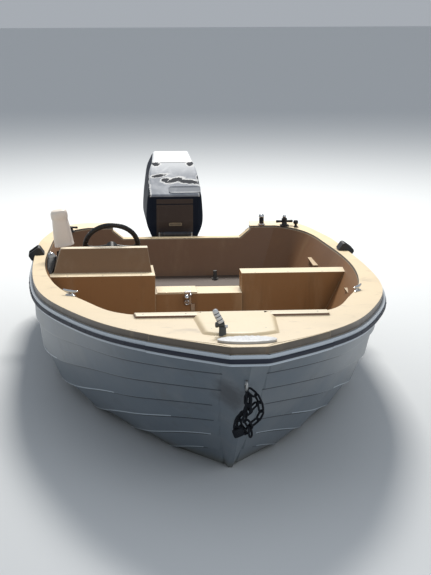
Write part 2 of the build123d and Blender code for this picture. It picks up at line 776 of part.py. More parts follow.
cowl = cowl_body(0, 0, cowl_edge_round)
cowl_inner = cowl_body(cowl_wall, 8, cowl_edge_round - cowl_wall)
hood = (cowl - cowl_inner) - box(-300, 300, 2200, 3000, 300, pan_top_z)
top_profile = [
    (2300, 690),
    (2350, 690),
    (2604, 880),
    (2800, 920),
    (2862, 900),
    (2950, 890),
    (2950, 1000),
    (2300, 1000),
]
top_zone = side_profile(top_profile, -300, 300)
save(at_motor(hood & top_zone), "cowl_top")
save(at_motor(hood - top_zone), "cowl_hood")
pan = (cowl - cowl_inner) & box(-300, 300, 2200, 3000, 300, pan_top_z)
save(at_motor(pan), "cowl_pan")
proud_cowl = Pos(0, -panel_proud, 0) * cowl
front = box(-121, 121, 2320, 2400, 425, 636) + box(-121, 121, 2320, 2400, 644, 674)
save(at_motor((front & proud_cowl) - cowl), "cowl_front_panel")
save(at_motor(box(-115, 115, 2405, 2715, pan_floor_z + 8, 640)), "engine_block")

pin = cylinder_between((0, steer_y, 96), (0, steer_y, pan_floor_z), pin_radius)
yoke = box(-40, 40, steer_y - 24, 2470, 92, 124)
leg_sections = [
    dict(y=2570, z=pan_floor_z, width=124, depth=250, corner=36),
    dict(y=2545, z=300, width=92, depth=200, corner=34),
    dict(y=2540, z=leg_bottom_z, width=72, depth=170, corner=32),
]
rings = []
for row in leg_sections:
    rings.append(Pos(0, row["y"], row["z"]) * RectangleRounded(row["width"], row["depth"], row["corner"]))
leg = loft(rings, ruled=True)
save(at_motor(leg + yoke + pin), "midsection")
plate_z0 = leg_bottom_z - 10
# anti-ventilation plate as a half outline
plate_half = [(0, 2430), (50, 2470), (92, 2580), (100, 2700), (80, 2800), (0, 2815)]
plate_edge = Spline(*plate_half)
vent_half = make_face(Curve() + [plate_edge, Line(plate_half[-1], plate_half[0])])
vent = extrude(Pos(0, 0, plate_z0) * (vent_half + mirror(vent_half, Plane.YZ)), 10)
save(at_motor(vent), "vent_plate")
strut = loft([
    Pos(0, 2545, plate_z0) * RectangleRounded(56, 190, 27),
    Pos(0, 2545, shaft_z + 20) * RectangleRounded(38, 150, 18),
])
nose_points = [(0, 2362), (30, 2385), (46, 2440), (48, 2520), (46, 2600), (38, 2668)]
nose_line = Spline(*nose_points)
torpedo_edges = [nose_line, Line(nose_points[-1], (0, 2668)), Line((0, 2668), nose_points[0])]
torpedo = Pos(0, 0, shaft_z) * revolve(make_face(Curve() + torpedo_edges), Axis.Y)
skeg = side_profile([(2470, -355), (2505, -500), (2530, -522), (2600, -518), (2625, -355)], -5, 5)
gearcase = strut + torpedo + skeg
gearcase -= cylinder_between((0, 2590, shaft_z), (0, 2700, shaft_z), prop_shaft_radius + pivot_clearance)
save(at_motor(gearcase), "gearcase")

# propeller with its shaft
hub = cylinder_between((0, prop_front_y, 0), (0, prop_front_y + prop_hub_length, 0), prop_hub_radius)
hub += cylinder_between((0, 2592, 0), (0, prop_front_y + prop_hub_length + 24, 0), prop_shaft_radius)
hub_back_y = prop_front_y + prop_hub_length
hub += cylinder_between((0, hub_back_y, 0), (0, hub_back_y + 16, 0), 17)
blade_sections = [
    dict(radius=36, chord=74, thickness=12, pitch=52),
    dict(radius=75, chord=112, thickness=8, pitch=38),
    dict(radius=115, chord=112, thickness=5.5, pitch=29),
    dict(radius=147, chord=44, thickness=3, pitch=24),
]
blade_y = prop_front_y + prop_hub_length / 2
rings = []
for row in blade_sections:
    angle = radians(row["pitch"])
    plane = Plane(origin=(row["radius"], blade_y, 0), x_dir=(0, sin(angle), cos(angle)), z_dir=(1, 0, 0))
    rings.append(plane * Ellipse(row["chord"] / 2, row["thickness"] / 2))
blade = loft(rings)
for k in range(blade_count):
    hub += Rot(0, 360 / blade_count * k, 0) * blade
save(at_motor(Pos(0, 0, shaft_z) * hub), "propeller")
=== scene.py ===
import json
import math

import bmesh
import bpy
from mathutils import Euler, Matrix, Vector


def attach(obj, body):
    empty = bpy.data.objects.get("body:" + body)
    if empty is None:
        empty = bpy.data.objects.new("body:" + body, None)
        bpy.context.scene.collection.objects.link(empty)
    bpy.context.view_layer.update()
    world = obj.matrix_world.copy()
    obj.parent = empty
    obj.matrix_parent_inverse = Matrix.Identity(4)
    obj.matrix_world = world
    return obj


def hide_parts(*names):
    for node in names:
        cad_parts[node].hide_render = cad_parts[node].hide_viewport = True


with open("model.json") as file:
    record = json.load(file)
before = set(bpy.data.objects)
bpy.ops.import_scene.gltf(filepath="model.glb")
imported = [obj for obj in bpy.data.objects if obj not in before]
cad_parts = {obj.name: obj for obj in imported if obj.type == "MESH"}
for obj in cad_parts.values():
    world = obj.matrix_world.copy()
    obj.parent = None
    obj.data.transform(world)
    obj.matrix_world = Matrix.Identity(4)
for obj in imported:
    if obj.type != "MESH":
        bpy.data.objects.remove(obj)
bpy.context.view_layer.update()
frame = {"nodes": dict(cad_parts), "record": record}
nodes = frame["nodes"]
print("frame loaded with", len(nodes), "nodes")


# shader helpers
def addNode(tree, kind, inputs=None, **settings):
    node = tree.nodes.new("ShaderNode" + kind)
    for name, value in settings.items():
        setattr(node, name, value)
    for name, value in (inputs or {}).items():
        feed(tree, node.inputs[name], value)
    return node


def feed(tree, socket, value):
    # link a socket, or set its colour or value
    if isinstance(value, bpy.types.NodeSocket):
        tree.links.new(value, socket)
    elif socket.type == "RGBA":
        socket.default_value = (*value, 1.0)
    else:
        socket.default_value = value


def calc(tree, operation, a, b=0.0, clamp=False):
    return addNode(tree, "Math", {0: a, 1: b}, operation=operation, use_clamp=clamp).outputs[0]


def plus(tree, a, b):
    return calc(tree, "ADD", a, b)


def minus(tree, a, b):
    return calc(tree, "SUBTRACT", a, b)


def times(tree, a, b):
    return calc(tree, "MULTIPLY", a, b)


def ramp(tree, value, low, high):
    inputs = {"Value": value, "From Min": low, "From Max": high}
    return addNode(tree, "MapRange", inputs, interpolation_type="SMOOTHSTEP").outputs["Result"]


def mixColour(tree, share, a, b):
    return addNode(tree, "Mix", {"Factor": share, "A": a, "B": b}, data_type="RGBA").outputs["Result"]


def objectPlace(tree):
    return addNode(tree, "TexCoord").outputs["Object"]


def axisOf(tree, vector, axis):
    return addNode(tree, "SeparateXYZ", {"Vector": vector}).outputs[axis]


def facing(tree, axis):
    return axisOf(tree, addNode(tree, "NewGeometry").outputs["Normal"], axis)


def noise(tree, place, scale, detail, **more):
    inputs = {"Vector": place, "Scale": scale, "Detail": detail, **more}
    return addNode(tree, "TexNoise", inputs).outputs["Fac"]


def newGroup(name, defaults, outputs):
    group = bpy.data.node_groups.new(name, "ShaderNodeTree")
    for label, value in defaults.items():
        socket = group.interface.new_socket(label, in_out="INPUT", socket_type="NodeSocketFloat")
        socket.default_value = value
    for label in outputs:
        group.interface.new_socket(label, in_out="OUTPUT", socket_type="NodeSocketFloat")
    return group, group.nodes.new("NodeGroupInput").outputs, group.nodes.new("NodeGroupOutput").inputs


def useGroup(tree, group, **inputs):
    node = tree.nodes.new("ShaderNodeGroup")
    node.node_tree = group
    for name, value in inputs.items():
        feed(tree, node.inputs[name], value)
    return node.outputs


# stains: soft clouds of dirt, in object coordinates
def makeStains():
    defaults = dict(Scale=4.0, Spread=0.5, Softness=0.2, Shift=0.0)
    group, start, end = newGroup("stains", defaults, ["Mask", "Cloud"])
    shift = addNode(group, "CombineXYZ", {axis: start["Shift"] for axis in "XYZ"}).outputs[0]
    moved = addNode(group, "Mapping", {"Vector": objectPlace(group), "Location": shift}).outputs[0]
    cloud = noise(group, moved, start["Scale"], 6.0, Roughness=0.62, Distortion=0.3)
    low = minus(group, 1.0, start["Spread"])
    feed(group, end["Mask"], ramp(group, cloud, low, plus(group, low, start["Softness"])))
    feed(group, end["Cloud"], cloud)
    return group


# streaks: run marks that hang down walls
def makeStreaks():
    group, start, end = newGroup("streaks", dict(Scale=14.0, Stretch=0.08, Spread=0.4), ["Mask"])
    squeeze = addNode(group, "CombineXYZ", {"X": 1.0, "Y": 1.0, "Z": start["Stretch"]}).outputs[0]
    drawn = addNode(group, "VectorMath", {0: objectPlace(group), 1: squeeze}, operation="MULTIPLY").outputs[0]
    lines = noise(group, drawn, start["Scale"], 5.0, Roughness=0.6)
    low = minus(group, 1.0, start["Spread"])
    marks = ramp(group, lines, low, plus(group, low, 0.22))
    wall = calc(group, "SUBTRACT", 1.0, calc(group, "ABSOLUTE", facing(group, "Z")), clamp=True)
    feed(group, end["Mask"], times(group, marks, wall))
    return group


# corner shade and dirt: dark where surfaces close in on each other, an occlusion mask that paints shade into
# corners and carries dirt there
def makeCornerShadeAndDirt():
    group, start, end = newGroup("cornerShadeAndDirt", dict(Distance=0.05, Strength=1.0, Breakup=12.0), ["Mask"])
    closed = addNode(group, "AmbientOcclusion", {"Distance": start["Distance"]}, samples=8).outputs["AO"]
    patchy = plus(group, noise(group, objectPlace(group), start["Breakup"], 4.0), 0.35)
    uneven = times(group, minus(group, 1.0, closed), patchy)
    feed(group, end["Mask"], calc(group, "MULTIPLY", uneven, start["Strength"], clamp=True))
    return group


# edge wear and painted highlight: where a rounded normal leaves the flat one; worn edges on most parts, the
# light caught by the lap edges on the hull
def makeEdgeWearAndHighlight():
    group, start, end = newGroup("edgeWearAndHighlight", dict(Radius=0.004, Amount=0.5, Breakup=60.0), ["Mask"])
    rounded = addNode(group, "Bevel", {"Radius": start["Radius"]}, samples=6).outputs["Normal"]
    flat = addNode(group, "NewGeometry").outputs["Normal"]
    same = addNode(group, "VectorMath", {0: rounded, 1: flat}, operation="DOT_PRODUCT").outputs["Value"]
    edge = ramp(group, minus(group, 1.0, same), 0.01, 0.16)
    patchy = plus(group, noise(group, objectPlace(group), start["Breakup"], 5.0, Roughness=0.7), 0.3)
    limit = minus(group, 1.0, start["Amount"])
    feed(group, end["Mask"], ramp(group, times(group, edge, patchy), limit, plus(group, limit, 0.12)))
    return group


# specks: small dots and chips
def makeSpecks():
    group, start, end = newGroup("specks", dict(Scale=60.0, Size=0.12, Share=0.3), ["Mask"])
    place = objectPlace(group)
    wobble = addNode(group, "TexNoise", {"Vector": place, "Scale": 90.0, "Detail": 2.0}).outputs["Color"]
    bent = addNode(group, "Mix", {"Factor": 0.012, "A": place, "B": wobble}, data_type="VECTOR")
    cells = addNode(group, "TexVoronoi", {"Vector": bent.outputs["Result"], "Scale": start["Scale"]}).outputs
    near = calc(group, "LESS_THAN", cells["Distance"], start["Size"])
    pick = addNode(group, "SeparateColor", {"Color": cells["Color"]}).outputs[0]
    feed(group, end["Mask"], times(group, near, calc(group, "LESS_THAN", pick, start["Share"])))
    return group


# skin: fine and broad surface relief as a height
def makeSkin():
    group, start, end = newGroup("skin", dict(Fine=300.0, Broad=6.0, Balance=0.4), ["Height"])
    fine, broad = [noise(group, objectPlace(group), start[size], 3.0) for size in ("Fine", "Broad")]
    both = addNode(group, "Mix", {"Factor": start["Balance"], "A": fine, "B": broad}, data_type="FLOAT")
    feed(group, end["Height"], both.outputs["Result"])
    return group


stains = makeStains()
streaks = makeStreaks()
cornerShadeAndDirt = makeCornerShadeAndDirt()
edgeWearAndHighlight = makeEdgeWearAndHighlight()
specks = makeSpecks()
skin = makeSkin()
print("shader groups built")


def newFinish(name, **shaderValues):
    material = bpy.data.materials.new(name)
    material.use_nodes = True
    tree = material.node_tree
    shader = tree.nodes["Principled BSDF"]
    for label, value in shaderValues.items():
        feed(tree, shader.inputs[label.replace("_", " ")], value)
    return material, tree, shader


def tint(tree, colour, tone, mask, share):
    return mixColour(tree, times(tree, mask, share), colour, tone)


def wearLayer(tree, colour, tone, group, share, **settings):
    # one shared effect laid over the colour in its own tone
    return tint(tree, colour, tone, useGroup(tree, group, **settings)["Mask"], share)


def darker(tone, share):
    return [share * part for part in tone]


def feedLook(tree, shader, colour, roughness, cloud, spread):
    feed(tree, shader.inputs["Base Color"], colour)
    feed(tree, shader.inputs["Roughness"], plus(tree, roughness, times(tree, cloud, spread)))


def relief(tree, shader, height, distance, strength):
    bump = addNode(tree, "Bump", {"Height": height, "Distance": distance, "Strength": strength})
    feed(tree, shader.inputs["Normal"], bump.outputs["Normal"])


# tan gelcoat: up-facing faces take a pale tone that paints the sunlight falling on them, partly sun-bleaching
# too, the walls a browner tone that paints their shade, and the corners painted shade and dirt
# in each look, wall is the tone of faces not turned up, darkened as painted shade, and the next colour is the
# up-facing tone, lightened as painted sunlight; the bench and sole tops are painted dark as the shadow the
# transom casts on them, and the liner's aft colour paints deeper shade on its walls towards the stern
tanLooks = {
    "tanDeck": dict(wall=(0.125, 0.1, 0.075), paintedTopAndWearTone=(0.88, 0.69, 0.42), roughness=0.42),
    "tanLiner": dict(wall=(0.33, 0.165, 0.066), paintedTopAndWearTone=(0.62, 0.46, 0.26), aftShade=(0.205, 0.102, 0.046),
        roughness=0.5, stainSpread=0.46),
    "tanConsole": dict(wall=(0.36, 0.185, 0.07), paintedTopAndWearTone=(0.9, 0.74, 0.48), roughness=0.46,
        stainSpread=0.42),
    "tanDash": dict(wall=(0.235, 0.128, 0.055), paintedTopAndWearTone=(0.9, 0.76, 0.55), roughness=0.44,
        stainSpread=0.42),
    "tanBench": dict(wall=(0.15, 0.088, 0.05), paintedTopAndWearTone=(0.09, 0.066, 0.052), dirt=(0.06, 0.045, 0.035),
        roughness=0.6, stainSpread=0.5, grain=0.8),
    "tanSole": dict(wall=(0.16, 0.1, 0.055), paintedTopAndWearTone=(0.2, 0.14, 0.09), dirt=(0.06, 0.045, 0.03),
        roughness=0.65, stainSpread=0.55, patchShare=0.4, grain=1.2),
    "tanPanel": dict(wall=(0.46, 0.27, 0.12), paintedTopAndWearTone=(0.9, 0.73, 0.46), roughness=0.5, stainSpread=0.4,
        patchShare=0.22, grain=0.5),
    "tanLip": dict(wall=(0.2, 0.1, 0.055), paintedTopAndWearTone=(0.92, 0.78, 0.54), roughness=0.46, stainSpread=0.4,
        patchShare=0.22),
}


def makeTanGelcoat(name, wall, paintedTopAndWearTone, roughness, dirt=(0.16, 0.09, 0.04), stainSpread=0.44, patchShare=0.3,
                   grain=0.0, aftShade=None):
    material, tree, shader = newFinish(name, Roughness=roughness, Coat_Weight=0.12, Coat_Roughness=0.3)
    place = objectPlace(tree)
    up = ramp(tree, facing(tree, "Z"), 0.55, 0.9)
    clouds = useGroup(tree, stains, Scale=2.2, Spread=0.62, Softness=0.3)
    uneven = plus(tree, times(tree, clouds["Cloud"], 0.4), 0.8)
    # painted light: walls get the shaded tone, deeper towards the stern where an aft colour is given, and
    # faces turned up mix towards the sunlit top tone
    side = mixColour(tree, ramp(tree, axisOf(tree, place, "Y"), 0.4, 1.3), wall, aftShade) if aftShade else wall
    colour = mixColour(tree, calc(tree, "MULTIPLY", up, uneven, clamp=True), side, paintedTopAndWearTone)
    stained = [0.5 * (a + b) for a, b in zip(wall, dirt)]
    colour = wearLayer(tree, colour, stained, stains, patchShare, Scale=7.5, Spread=stainSpread,
                       Softness=0.16, Shift=4.0)
    colour = wearLayer(tree, colour, dirt, streaks, 0.4, Scale=16.0, Stretch=0.1, Spread=0.44)
    colour = wearLayer(tree, colour, paintedTopAndWearTone, streaks, 0.16, Scale=5.0, Stretch=0.25, Spread=0.48)
    # painted shade and dirt darken the corners
    colour = wearLayer(tree, colour, darker(dirt, 0.4), cornerShadeAndDirt, 0.75, Distance=0.06, Strength=1.1,
                       Breakup=9.0)
    colour = wearLayer(tree, colour, darker(dirt, 0.45), specks, 0.45, Scale=46.0, Size=0.1, Share=0.16)
    colour = wearLayer(tree, colour, paintedTopAndWearTone, edgeWearAndHighlight, 0.5, Radius=0.008, Amount=0.5, Breakup=18.0)
    feedLook(tree, shader, colour, roughness - 0.08, clouds["Cloud"], 0.25)
    height = useGroup(tree, skin, Fine=420.0, Broad=9.0, Balance=0.5)["Height"]
    if grain:
        cells = addNode(tree, "TexVoronoi", {"Vector": place, "Scale": 210.0}).outputs["Distance"]
        studs = times(tree, ramp(tree, cells, 0.5, 0.15), up)
        height = plus(tree, height, times(tree, studs, grain))
    relief(tree, shader, height, 0.0012, 0.5)
    return material


# weathered hull, its grey-white gelcoat painted in the darker grey-blue it shows in shade, with painted shade
# under the laps and a painted highlight along their edges; scuffed round the chain, stained at the waterline
# base and chalk are the hull's tones as seen in shade: painted shade over the whole hull
hullLook = dict(
    base=(0.126, 0.158, 0.19), chalk=(0.205, 0.225, 0.24), grime=(0.085, 0.085, 0.08),
    scum=(0.13, 0.115, 0.07), weed=(0.04, 0.05, 0.028), lap=(0.025, 0.028, 0.034), edge=(0.5, 0.53, 0.56),
    stemFrom=0.13, stemTo=0.2, scuff=(0.035, 0.037, 0.045), scuffAt=(-0.05, -1.975, 0.5),
    scuffShape=(1.0, 0.6, 0.75),
)


def makeHullGelcoat(name, look):
    material, tree, shader = newFinish(name, Roughness=0.42, Coat_Weight=0.2, Coat_Roughness=0.25)
    place = objectPlace(tree)
    clouds = useGroup(tree, stains, Scale=1.7, Spread=0.58, Softness=0.34)
    colour = mixColour(tree, clouds["Mask"], look["base"], look["chalk"])
    colour = wearLayer(tree, colour, look["grime"], stains, 0.25, Scale=5.5, Spread=0.44, Softness=0.14,
                       Shift=9.0)
    colour = wearLayer(tree, colour, look["grime"], streaks, 0.35, Scale=11.0, Stretch=0.07, Spread=0.45)
    colour = wearLayer(tree, colour, look["chalk"], streaks, 0.18, Scale=38.0, Stretch=0.05, Spread=0.42)
    # painted shade: the corners along the laps and the faces turned down under them darken to the lap shade
    # tone, less beside the stem
    across = calc(tree, "ABSOLUTE", axisOf(tree, place, "X"))
    besideStem = ramp(tree, across, look["stemFrom"], look["stemTo"])
    colour = wearLayer(tree, colour, look["lap"], cornerShadeAndDirt, times(tree, besideStem, 0.6), Distance=0.03,
                       Strength=1.5, Breakup=14.0)
    under = ramp(tree, times(tree, facing(tree, "Z"), -1.0), 0.8, 0.95)
    colour = tint(tree, colour, look["lap"], under, 0.75)
    cloud = useGroup(tree, stains, Scale=9.0, Spread=0.5, Softness=0.4, Shift=2.0)["Cloud"]
    wave = minus(tree, cloud, 0.5)
    line = plus(tree, axisOf(tree, place, "Z"), times(tree, wave, 0.05))
    colour = tint(tree, colour, look["scum"], ramp(tree, line, 0.07, 0.005), 0.55)
    colour = tint(tree, colour, look["weed"], ramp(tree, line, 0.012, -0.02), 0.8)
    away = addNode(tree, "VectorMath", {0: place, 1: look["scuffAt"]}, operation="SUBTRACT").outputs[0]
    shaped = addNode(tree, "VectorMath", {0: away, 1: look["scuffShape"]}, operation="MULTIPLY").outputs[0]
    reach = addNode(tree, "VectorMath", {0: shaped}, operation="LENGTH").outputs["Value"]
    ragged = plus(tree, reach, times(tree, wave, 0.12))
    colour = tint(tree, colour, look["scuff"], ramp(tree, ragged, 0.11, 0.03), 0.7)
    colour = wearLayer(tree, colour, look["grime"], specks, 0.45, Scale=34.0, Size=0.09, Share=0.2)
    # painted highlight: a light line along the lap edges, faded out beside the stem
    colour = wearLayer(tree, colour, look["edge"], edgeWearAndHighlight, times(tree, besideStem, 0.55), Radius=0.006,
                       Amount=0.75, Breakup=12.0)
    feedLook(tree, shader, colour, 0.3, clouds["Cloud"], 0.3)
    relief(tree, shader, useGroup(tree, skin, Fine=260.0, Broad=5.0, Balance=0.7)["Height"], 0.002, 0.35)
    return material


# moulded or painted parts with worn edges, each in its own colours
plainLooks = {
    # the white rail's colour is the blue-grey it takes in shade: painted shade
    "whiteRail": dict(base=(0.5, 0.56, 0.62), worn=(0.6, 0.64, 0.68), dirt=(0.07, 0.075, 0.08),
        roughness=0.4, dirtShare=0.75, coat=0.15),
    "darkInsert": dict(base=(0.006, 0.01, 0.026), worn=(0.02, 0.028, 0.05), dirt=(0.04, 0.045, 0.05),
        roughness=0.6, dirtShare=0.1, mottle=0.1, wearAmount=0.25),
    "blackMoulding": dict(base=(0.012, 0.012, 0.014), worn=(0.06, 0.06, 0.065), dirt=(0.09, 0.08, 0.07)),
    "wheelBlack": dict(base=(0.01, 0.01, 0.011), worn=(0.055, 0.05, 0.045), dirt=(0.11, 0.1, 0.09),
        roughness=0.36, wearAmount=0.5),
    "paleFitting": dict(base=(0.66, 0.67, 0.68), worn=(0.9, 0.9, 0.9), dirt=(0.2, 0.19, 0.18), mottle=0.8),
    "greyCast": dict(base=(0.06, 0.063, 0.062), worn=(0.2, 0.2, 0.19), dirt=(0.03, 0.028, 0.025),
        roughness=0.55),
    "creamJug": dict(base=(0.88, 0.78, 0.68), worn=(0.92, 0.84, 0.75), dirt=(0.34, 0.29, 0.24),
        roughness=0.42, dirtShare=0.45),
    "cowlPaint": dict(base=(0.012, 0.017, 0.03), worn=(0.05, 0.055, 0.065), dirt=(0.11, 0.1, 0.09),
        dirtShare=0.35, mottle=0.3, wearAmount=0.35, specular=0.08),
    "brownPanel": dict(base=(0.05, 0.034, 0.028), worn=(0.11, 0.085, 0.07), dirt=(0.03, 0.02, 0.015),
        roughness=0.42, dirtShare=0.3),
    "bracketPaint": dict(base=(0.02, 0.024, 0.032), worn=(0.2, 0.2, 0.2), dirt=(0.1, 0.08, 0.06),
        wearAmount=0.5),
    "legPaint": dict(base=(0.017, 0.022, 0.034), worn=(0.16, 0.17, 0.17), dirt=(0.09, 0.085, 0.06),
        roughness=0.42, wearAmount=0.45),
    "propPaint": dict(base=(0.03, 0.03, 0.032), worn=(0.3, 0.29, 0.28), dirt=(0.1, 0.09, 0.07),
        roughness=0.4, wearAmount=0.55),
    "chainPaint": dict(base=(0.004, 0.006, 0.01), worn=(0.022, 0.023, 0.027), dirt=(0.012, 0.011, 0.011),
        roughness=0.6, wearAmount=0.3, specular=0.2),
    "primerPlate": dict(base=(0.17, 0.19, 0.225), worn=(0.75, 0.77, 0.79), dirt=(0.1, 0.1, 0.1),
        wearAmount=0.6),
    "castBlock": dict(base=(0.13, 0.13, 0.135), worn=(0.25, 0.25, 0.25), dirt=(0.04, 0.035, 0.03),
        roughness=0.6),
    "woodBoard": dict(base=(0.3, 0.19, 0.09), worn=(0.45, 0.32, 0.18), dirt=(0.1, 0.06, 0.03),
        roughness=0.7),
    # dark strips under the laps: painted shadow
    "lapLine": dict(base=(0.045, 0.053, 0.065), worn=(0.1, 0.11, 0.12), dirt=(0.02, 0.022, 0.028),
        roughness=0.6, mottle=0.6),
    # light strips on the lap edges: painted highlight
    "wornEdge": dict(base=(0.5, 0.56, 0.61), worn=(0.62, 0.66, 0.7), dirt=(0.2, 0.23, 0.26), mottle=0.7),
}


def makePlainFinish(name, base, worn, dirt, roughness=0.5, wearAmount=0.4, dirtShare=0.5, coat=0.0,
                    mottle=0.25, specular=0.5):
    material, tree, shader = newFinish(name, Roughness=roughness, Coat_Weight=coat,
                                       Specular_IOR_Level=specular)
    clouds = useGroup(tree, stains, Scale=14.0, Spread=0.5, Softness=0.3)
    colour = tint(tree, base, worn, clouds["Mask"], mottle)
    # painted shade and dirt darken the corners
    colour = wearLayer(tree, colour, dirt, cornerShadeAndDirt, dirtShare, Distance=0.03, Strength=1.2, Breakup=30.0)
    colour = wearLayer(tree, colour, worn, streaks, 0.22, Scale=40.0, Stretch=0.12, Spread=0.42)
    colour = wearLayer(tree, colour, worn, edgeWearAndHighlight, 0.8, Radius=0.003, Amount=wearAmount, Breakup=80.0)
    colour = wearLayer(tree, colour, dirt, specks, 0.35, Scale=90.0, Size=0.12, Share=0.12)
    feedLook(tree, shader, colour, roughness - 0.08, clouds["Cloud"], 0.2)
    relief(tree, shader, useGroup(tree, skin, Fine=300.0, Broad=20.0, Balance=0.3)["Height"], 0.0006, 0.6)
    return material


# bright fittings with pits and a dull film
chromeLooks = {
    "chromeFitting": dict(base=(0.72, 0.73, 0.74), pit=(0.09, 0.07, 0.05), roughness=0.16),
    "dullSteel": dict(base=(0.42, 0.42, 0.41), pit=(0.1, 0.055, 0.03), roughness=0.34),
}


def makeChrome(name, base, pit, roughness):
    material, tree, shader = newFinish(name, Metallic=1.0, Roughness=roughness)
    clouds = useGroup(tree, stains, Scale=30.0, Spread=0.5, Softness=0.25)
    colour = tint(tree, base, darker(base, 0.6), clouds["Mask"], 0.35)
    colour = wearLayer(tree, colour, pit, cornerShadeAndDirt, 0.7, Distance=0.015, Strength=1.0, Breakup=60.0)
    colour = wearLayer(tree, colour, pit, specks, 0.6, Scale=200.0, Size=0.2, Share=0.2)
    feedLook(tree, shader, colour, roughness, clouds["Mask"], 0.25)
    relief(tree, shader, useGroup(tree, skin, Fine=500.0, Broad=60.0, Balance=0.5)["Height"], 0.0003, 0.4)
    return material


# cowl lid with its paint peeled off down to pale primer, ragged at the edges with a painted highlight round
# the paint's edges; patches still have paint
lidLook = dict(
    middle=-0.035, seamZ=0.8845, paint=(0.012, 0.016, 0.026), primer=(0.23, 0.255, 0.3),
    bright=(0.8, 0.82, 0.84), rim=(0.05, 0.045, 0.045), rimHighlight=(0.88, 0.88, 0.86),
    patches=[dict(x=-0.15, z=0.878, rx=0.026, rz=0.011, tilt=0), dict(x=0.084, z=0.876, rx=0.024, rz=0.012,
        tilt=0), dict(x=-0.128, z=0.812, rx=0.046, rz=0.008, tilt=8), dict(x=-0.092, z=0.786, rx=0.03,
        rz=0.01, tilt=14), dict(x=-0.03, z=0.784, rx=0.058, rz=0.012, tilt=10), dict(x=0.06, z=0.776,
        rx=0.085, rz=0.011, tilt=-5), dict(x=0.132, z=0.797, rx=0.012, rz=0.009, tilt=-30)],
)


def patchReach(tree, xyz, patch, wobble):
    # 1 on a patch's ragged oval outline, less inside it
    cosine, sine = math.cos(math.radians(patch["tilt"])), math.sin(math.radians(patch["tilt"]))
    dx, dz = minus(tree, xyz["X"], patch["x"]), minus(tree, xyz["Z"], patch["z"])
    along = plus(tree, times(tree, dx, cosine / patch["rx"]), times(tree, dz, sine / patch["rx"]))
    over = minus(tree, times(tree, dz, cosine / patch["rz"]), times(tree, dx, sine / patch["rz"]))
    oval = plus(tree, times(tree, along, along), times(tree, over, over))
    return plus(tree, oval, times(tree, wobble, 5.0))


def makePeeledLid(name, look):
    material, tree, shader = newFinish(name, Roughness=0.4, Coat_Weight=0.1)
    place = objectPlace(tree)
    xyz = addNode(tree, "SeparateXYZ", {"Vector": place}).outputs
    wobble = minus(tree, noise(tree, place, 26.0, 9.0, Roughness=0.72, Distortion=0.4), 0.5)
    torn = times(tree, wobble, 0.05)
    across = calc(tree, "ABSOLUTE", minus(tree, xyz["X"], look["middle"]))
    belly = times(tree, ramp(tree, xyz["Z"], 0.885, 0.85), 0.026)
    edge = minus(tree, plus(tree, across, torn), belly)
    back = plus(tree, xyz["Y"], times(tree, torn, 1.6))
    painted = calc(tree, "MAXIMUM", ramp(tree, edge, 0.137, 0.141), ramp(tree, back, 2.862, 2.87))
    rims = ramp(tree, edge, 0.127, 0.134)
    for patch in look["patches"]:
        reach = patchReach(tree, xyz, patch, wobble)
        painted = calc(tree, "MAXIMUM", painted, ramp(tree, reach, 1.1, 0.8))
        rims = calc(tree, "MAXIMUM", rims, ramp(tree, reach, 2.6, 1.6))
    cloud = useGroup(tree, stains, Scale=9.0, Spread=0.55, Softness=0.3)["Mask"]
    high = times(tree, ramp(tree, xyz["Z"], 0.79, 0.885), 0.75)
    pale = calc(tree, "ADD", high, times(tree, cloud, 0.4), clamp=True)
    bare = mixColour(tree, pale, look["primer"], look["bright"])
    bare = wearLayer(tree, bare, look["primer"], streaks, 0.3, Scale=60.0, Stretch=0.2, Spread=0.45)
    seam = calc(tree, "ABSOLUTE", minus(tree, xyz["Z"], look["seamZ"]))
    bare = tint(tree, bare, look["rim"], ramp(tree, seam, 0.0032, 0.001), 0.55)
    bare = wearLayer(tree, bare, look["rim"], specks, 0.35, Scale=120.0, Size=0.2, Share=0.14)
    # painted highlight round the edges of the paint
    colour = tint(tree, bare, look["rimHighlight"], rims, 0.75)
    feedLook(tree, shader, mixColour(tree, painted, colour, look["paint"]), 0.5, painted, -0.25)
    fine = useGroup(tree, skin, Fine=200.0, Broad=30.0, Balance=0.5)["Height"]
    relief(tree, shader, plus(tree, times(tree, painted, 0.5), times(tree, fine, 0.4)), 0.0012, 0.8)
    return material


paints = {
    "shadedWeatheredHull": makeHullGelcoat("shadedWeatheredHull", hullLook),
    "peeledLid": makePeeledLid("peeledLid", lidLook),
}
makers = (makeTanGelcoat, tanLooks), (makePlainFinish, plainLooks), (makeChrome, chromeLooks)
for makeFinish, looks in makers:
    paints.update({name: makeFinish(name, **look) for name, look in looks.items()})
print("finishes built")

slotPaints = {
    "hull_gelcoat": "shadedWeatheredHull", "deck_gelcoat": "tanDeck", "liner_gelcoat": "tanLiner",
    "sole_mat": "tanSole", "rail_white": "whiteRail", "rail_dark": "darkInsert",
    "black_plastic": "blackMoulding", "wheel_black": "wheelBlack", "chrome": "chromeFitting",
    "plate_grey": "paleFitting", "cover_cream": "creamJug", "cowl_navy": "cowlPaint",
    "cowl_silver": "peeledLid", "cowl_front": "brownPanel", "motor_paint": "legPaint",
    "bracket_metal": "bracketPaint", "steel": "dullSteel", "prop_metal": "propPaint",
    "chain_black": "chainPaint", "engine_grey": "castBlock", "wood_board": "woodBoard",
}
nodePaints = {
    "helm_console": "tanConsole", "port_console": "tanConsole", "centre_sill": "tanConsole",
    "stern_bench": "tanBench", "foredeck_panel": "tanPanel", "dash_box": "tanDash",
    "bench_outlet": "greyCast",
}
slotOf = {part["node"]: part["material_slot"] for part in frame["record"]["subparts"]}
for name, node in nodes.items():
    node.data.materials.clear()
    node.data.materials.append(paints[nodePaints.get(name, slotPaints[slotOf[name]])])
print("finishes on the CAD nodes")


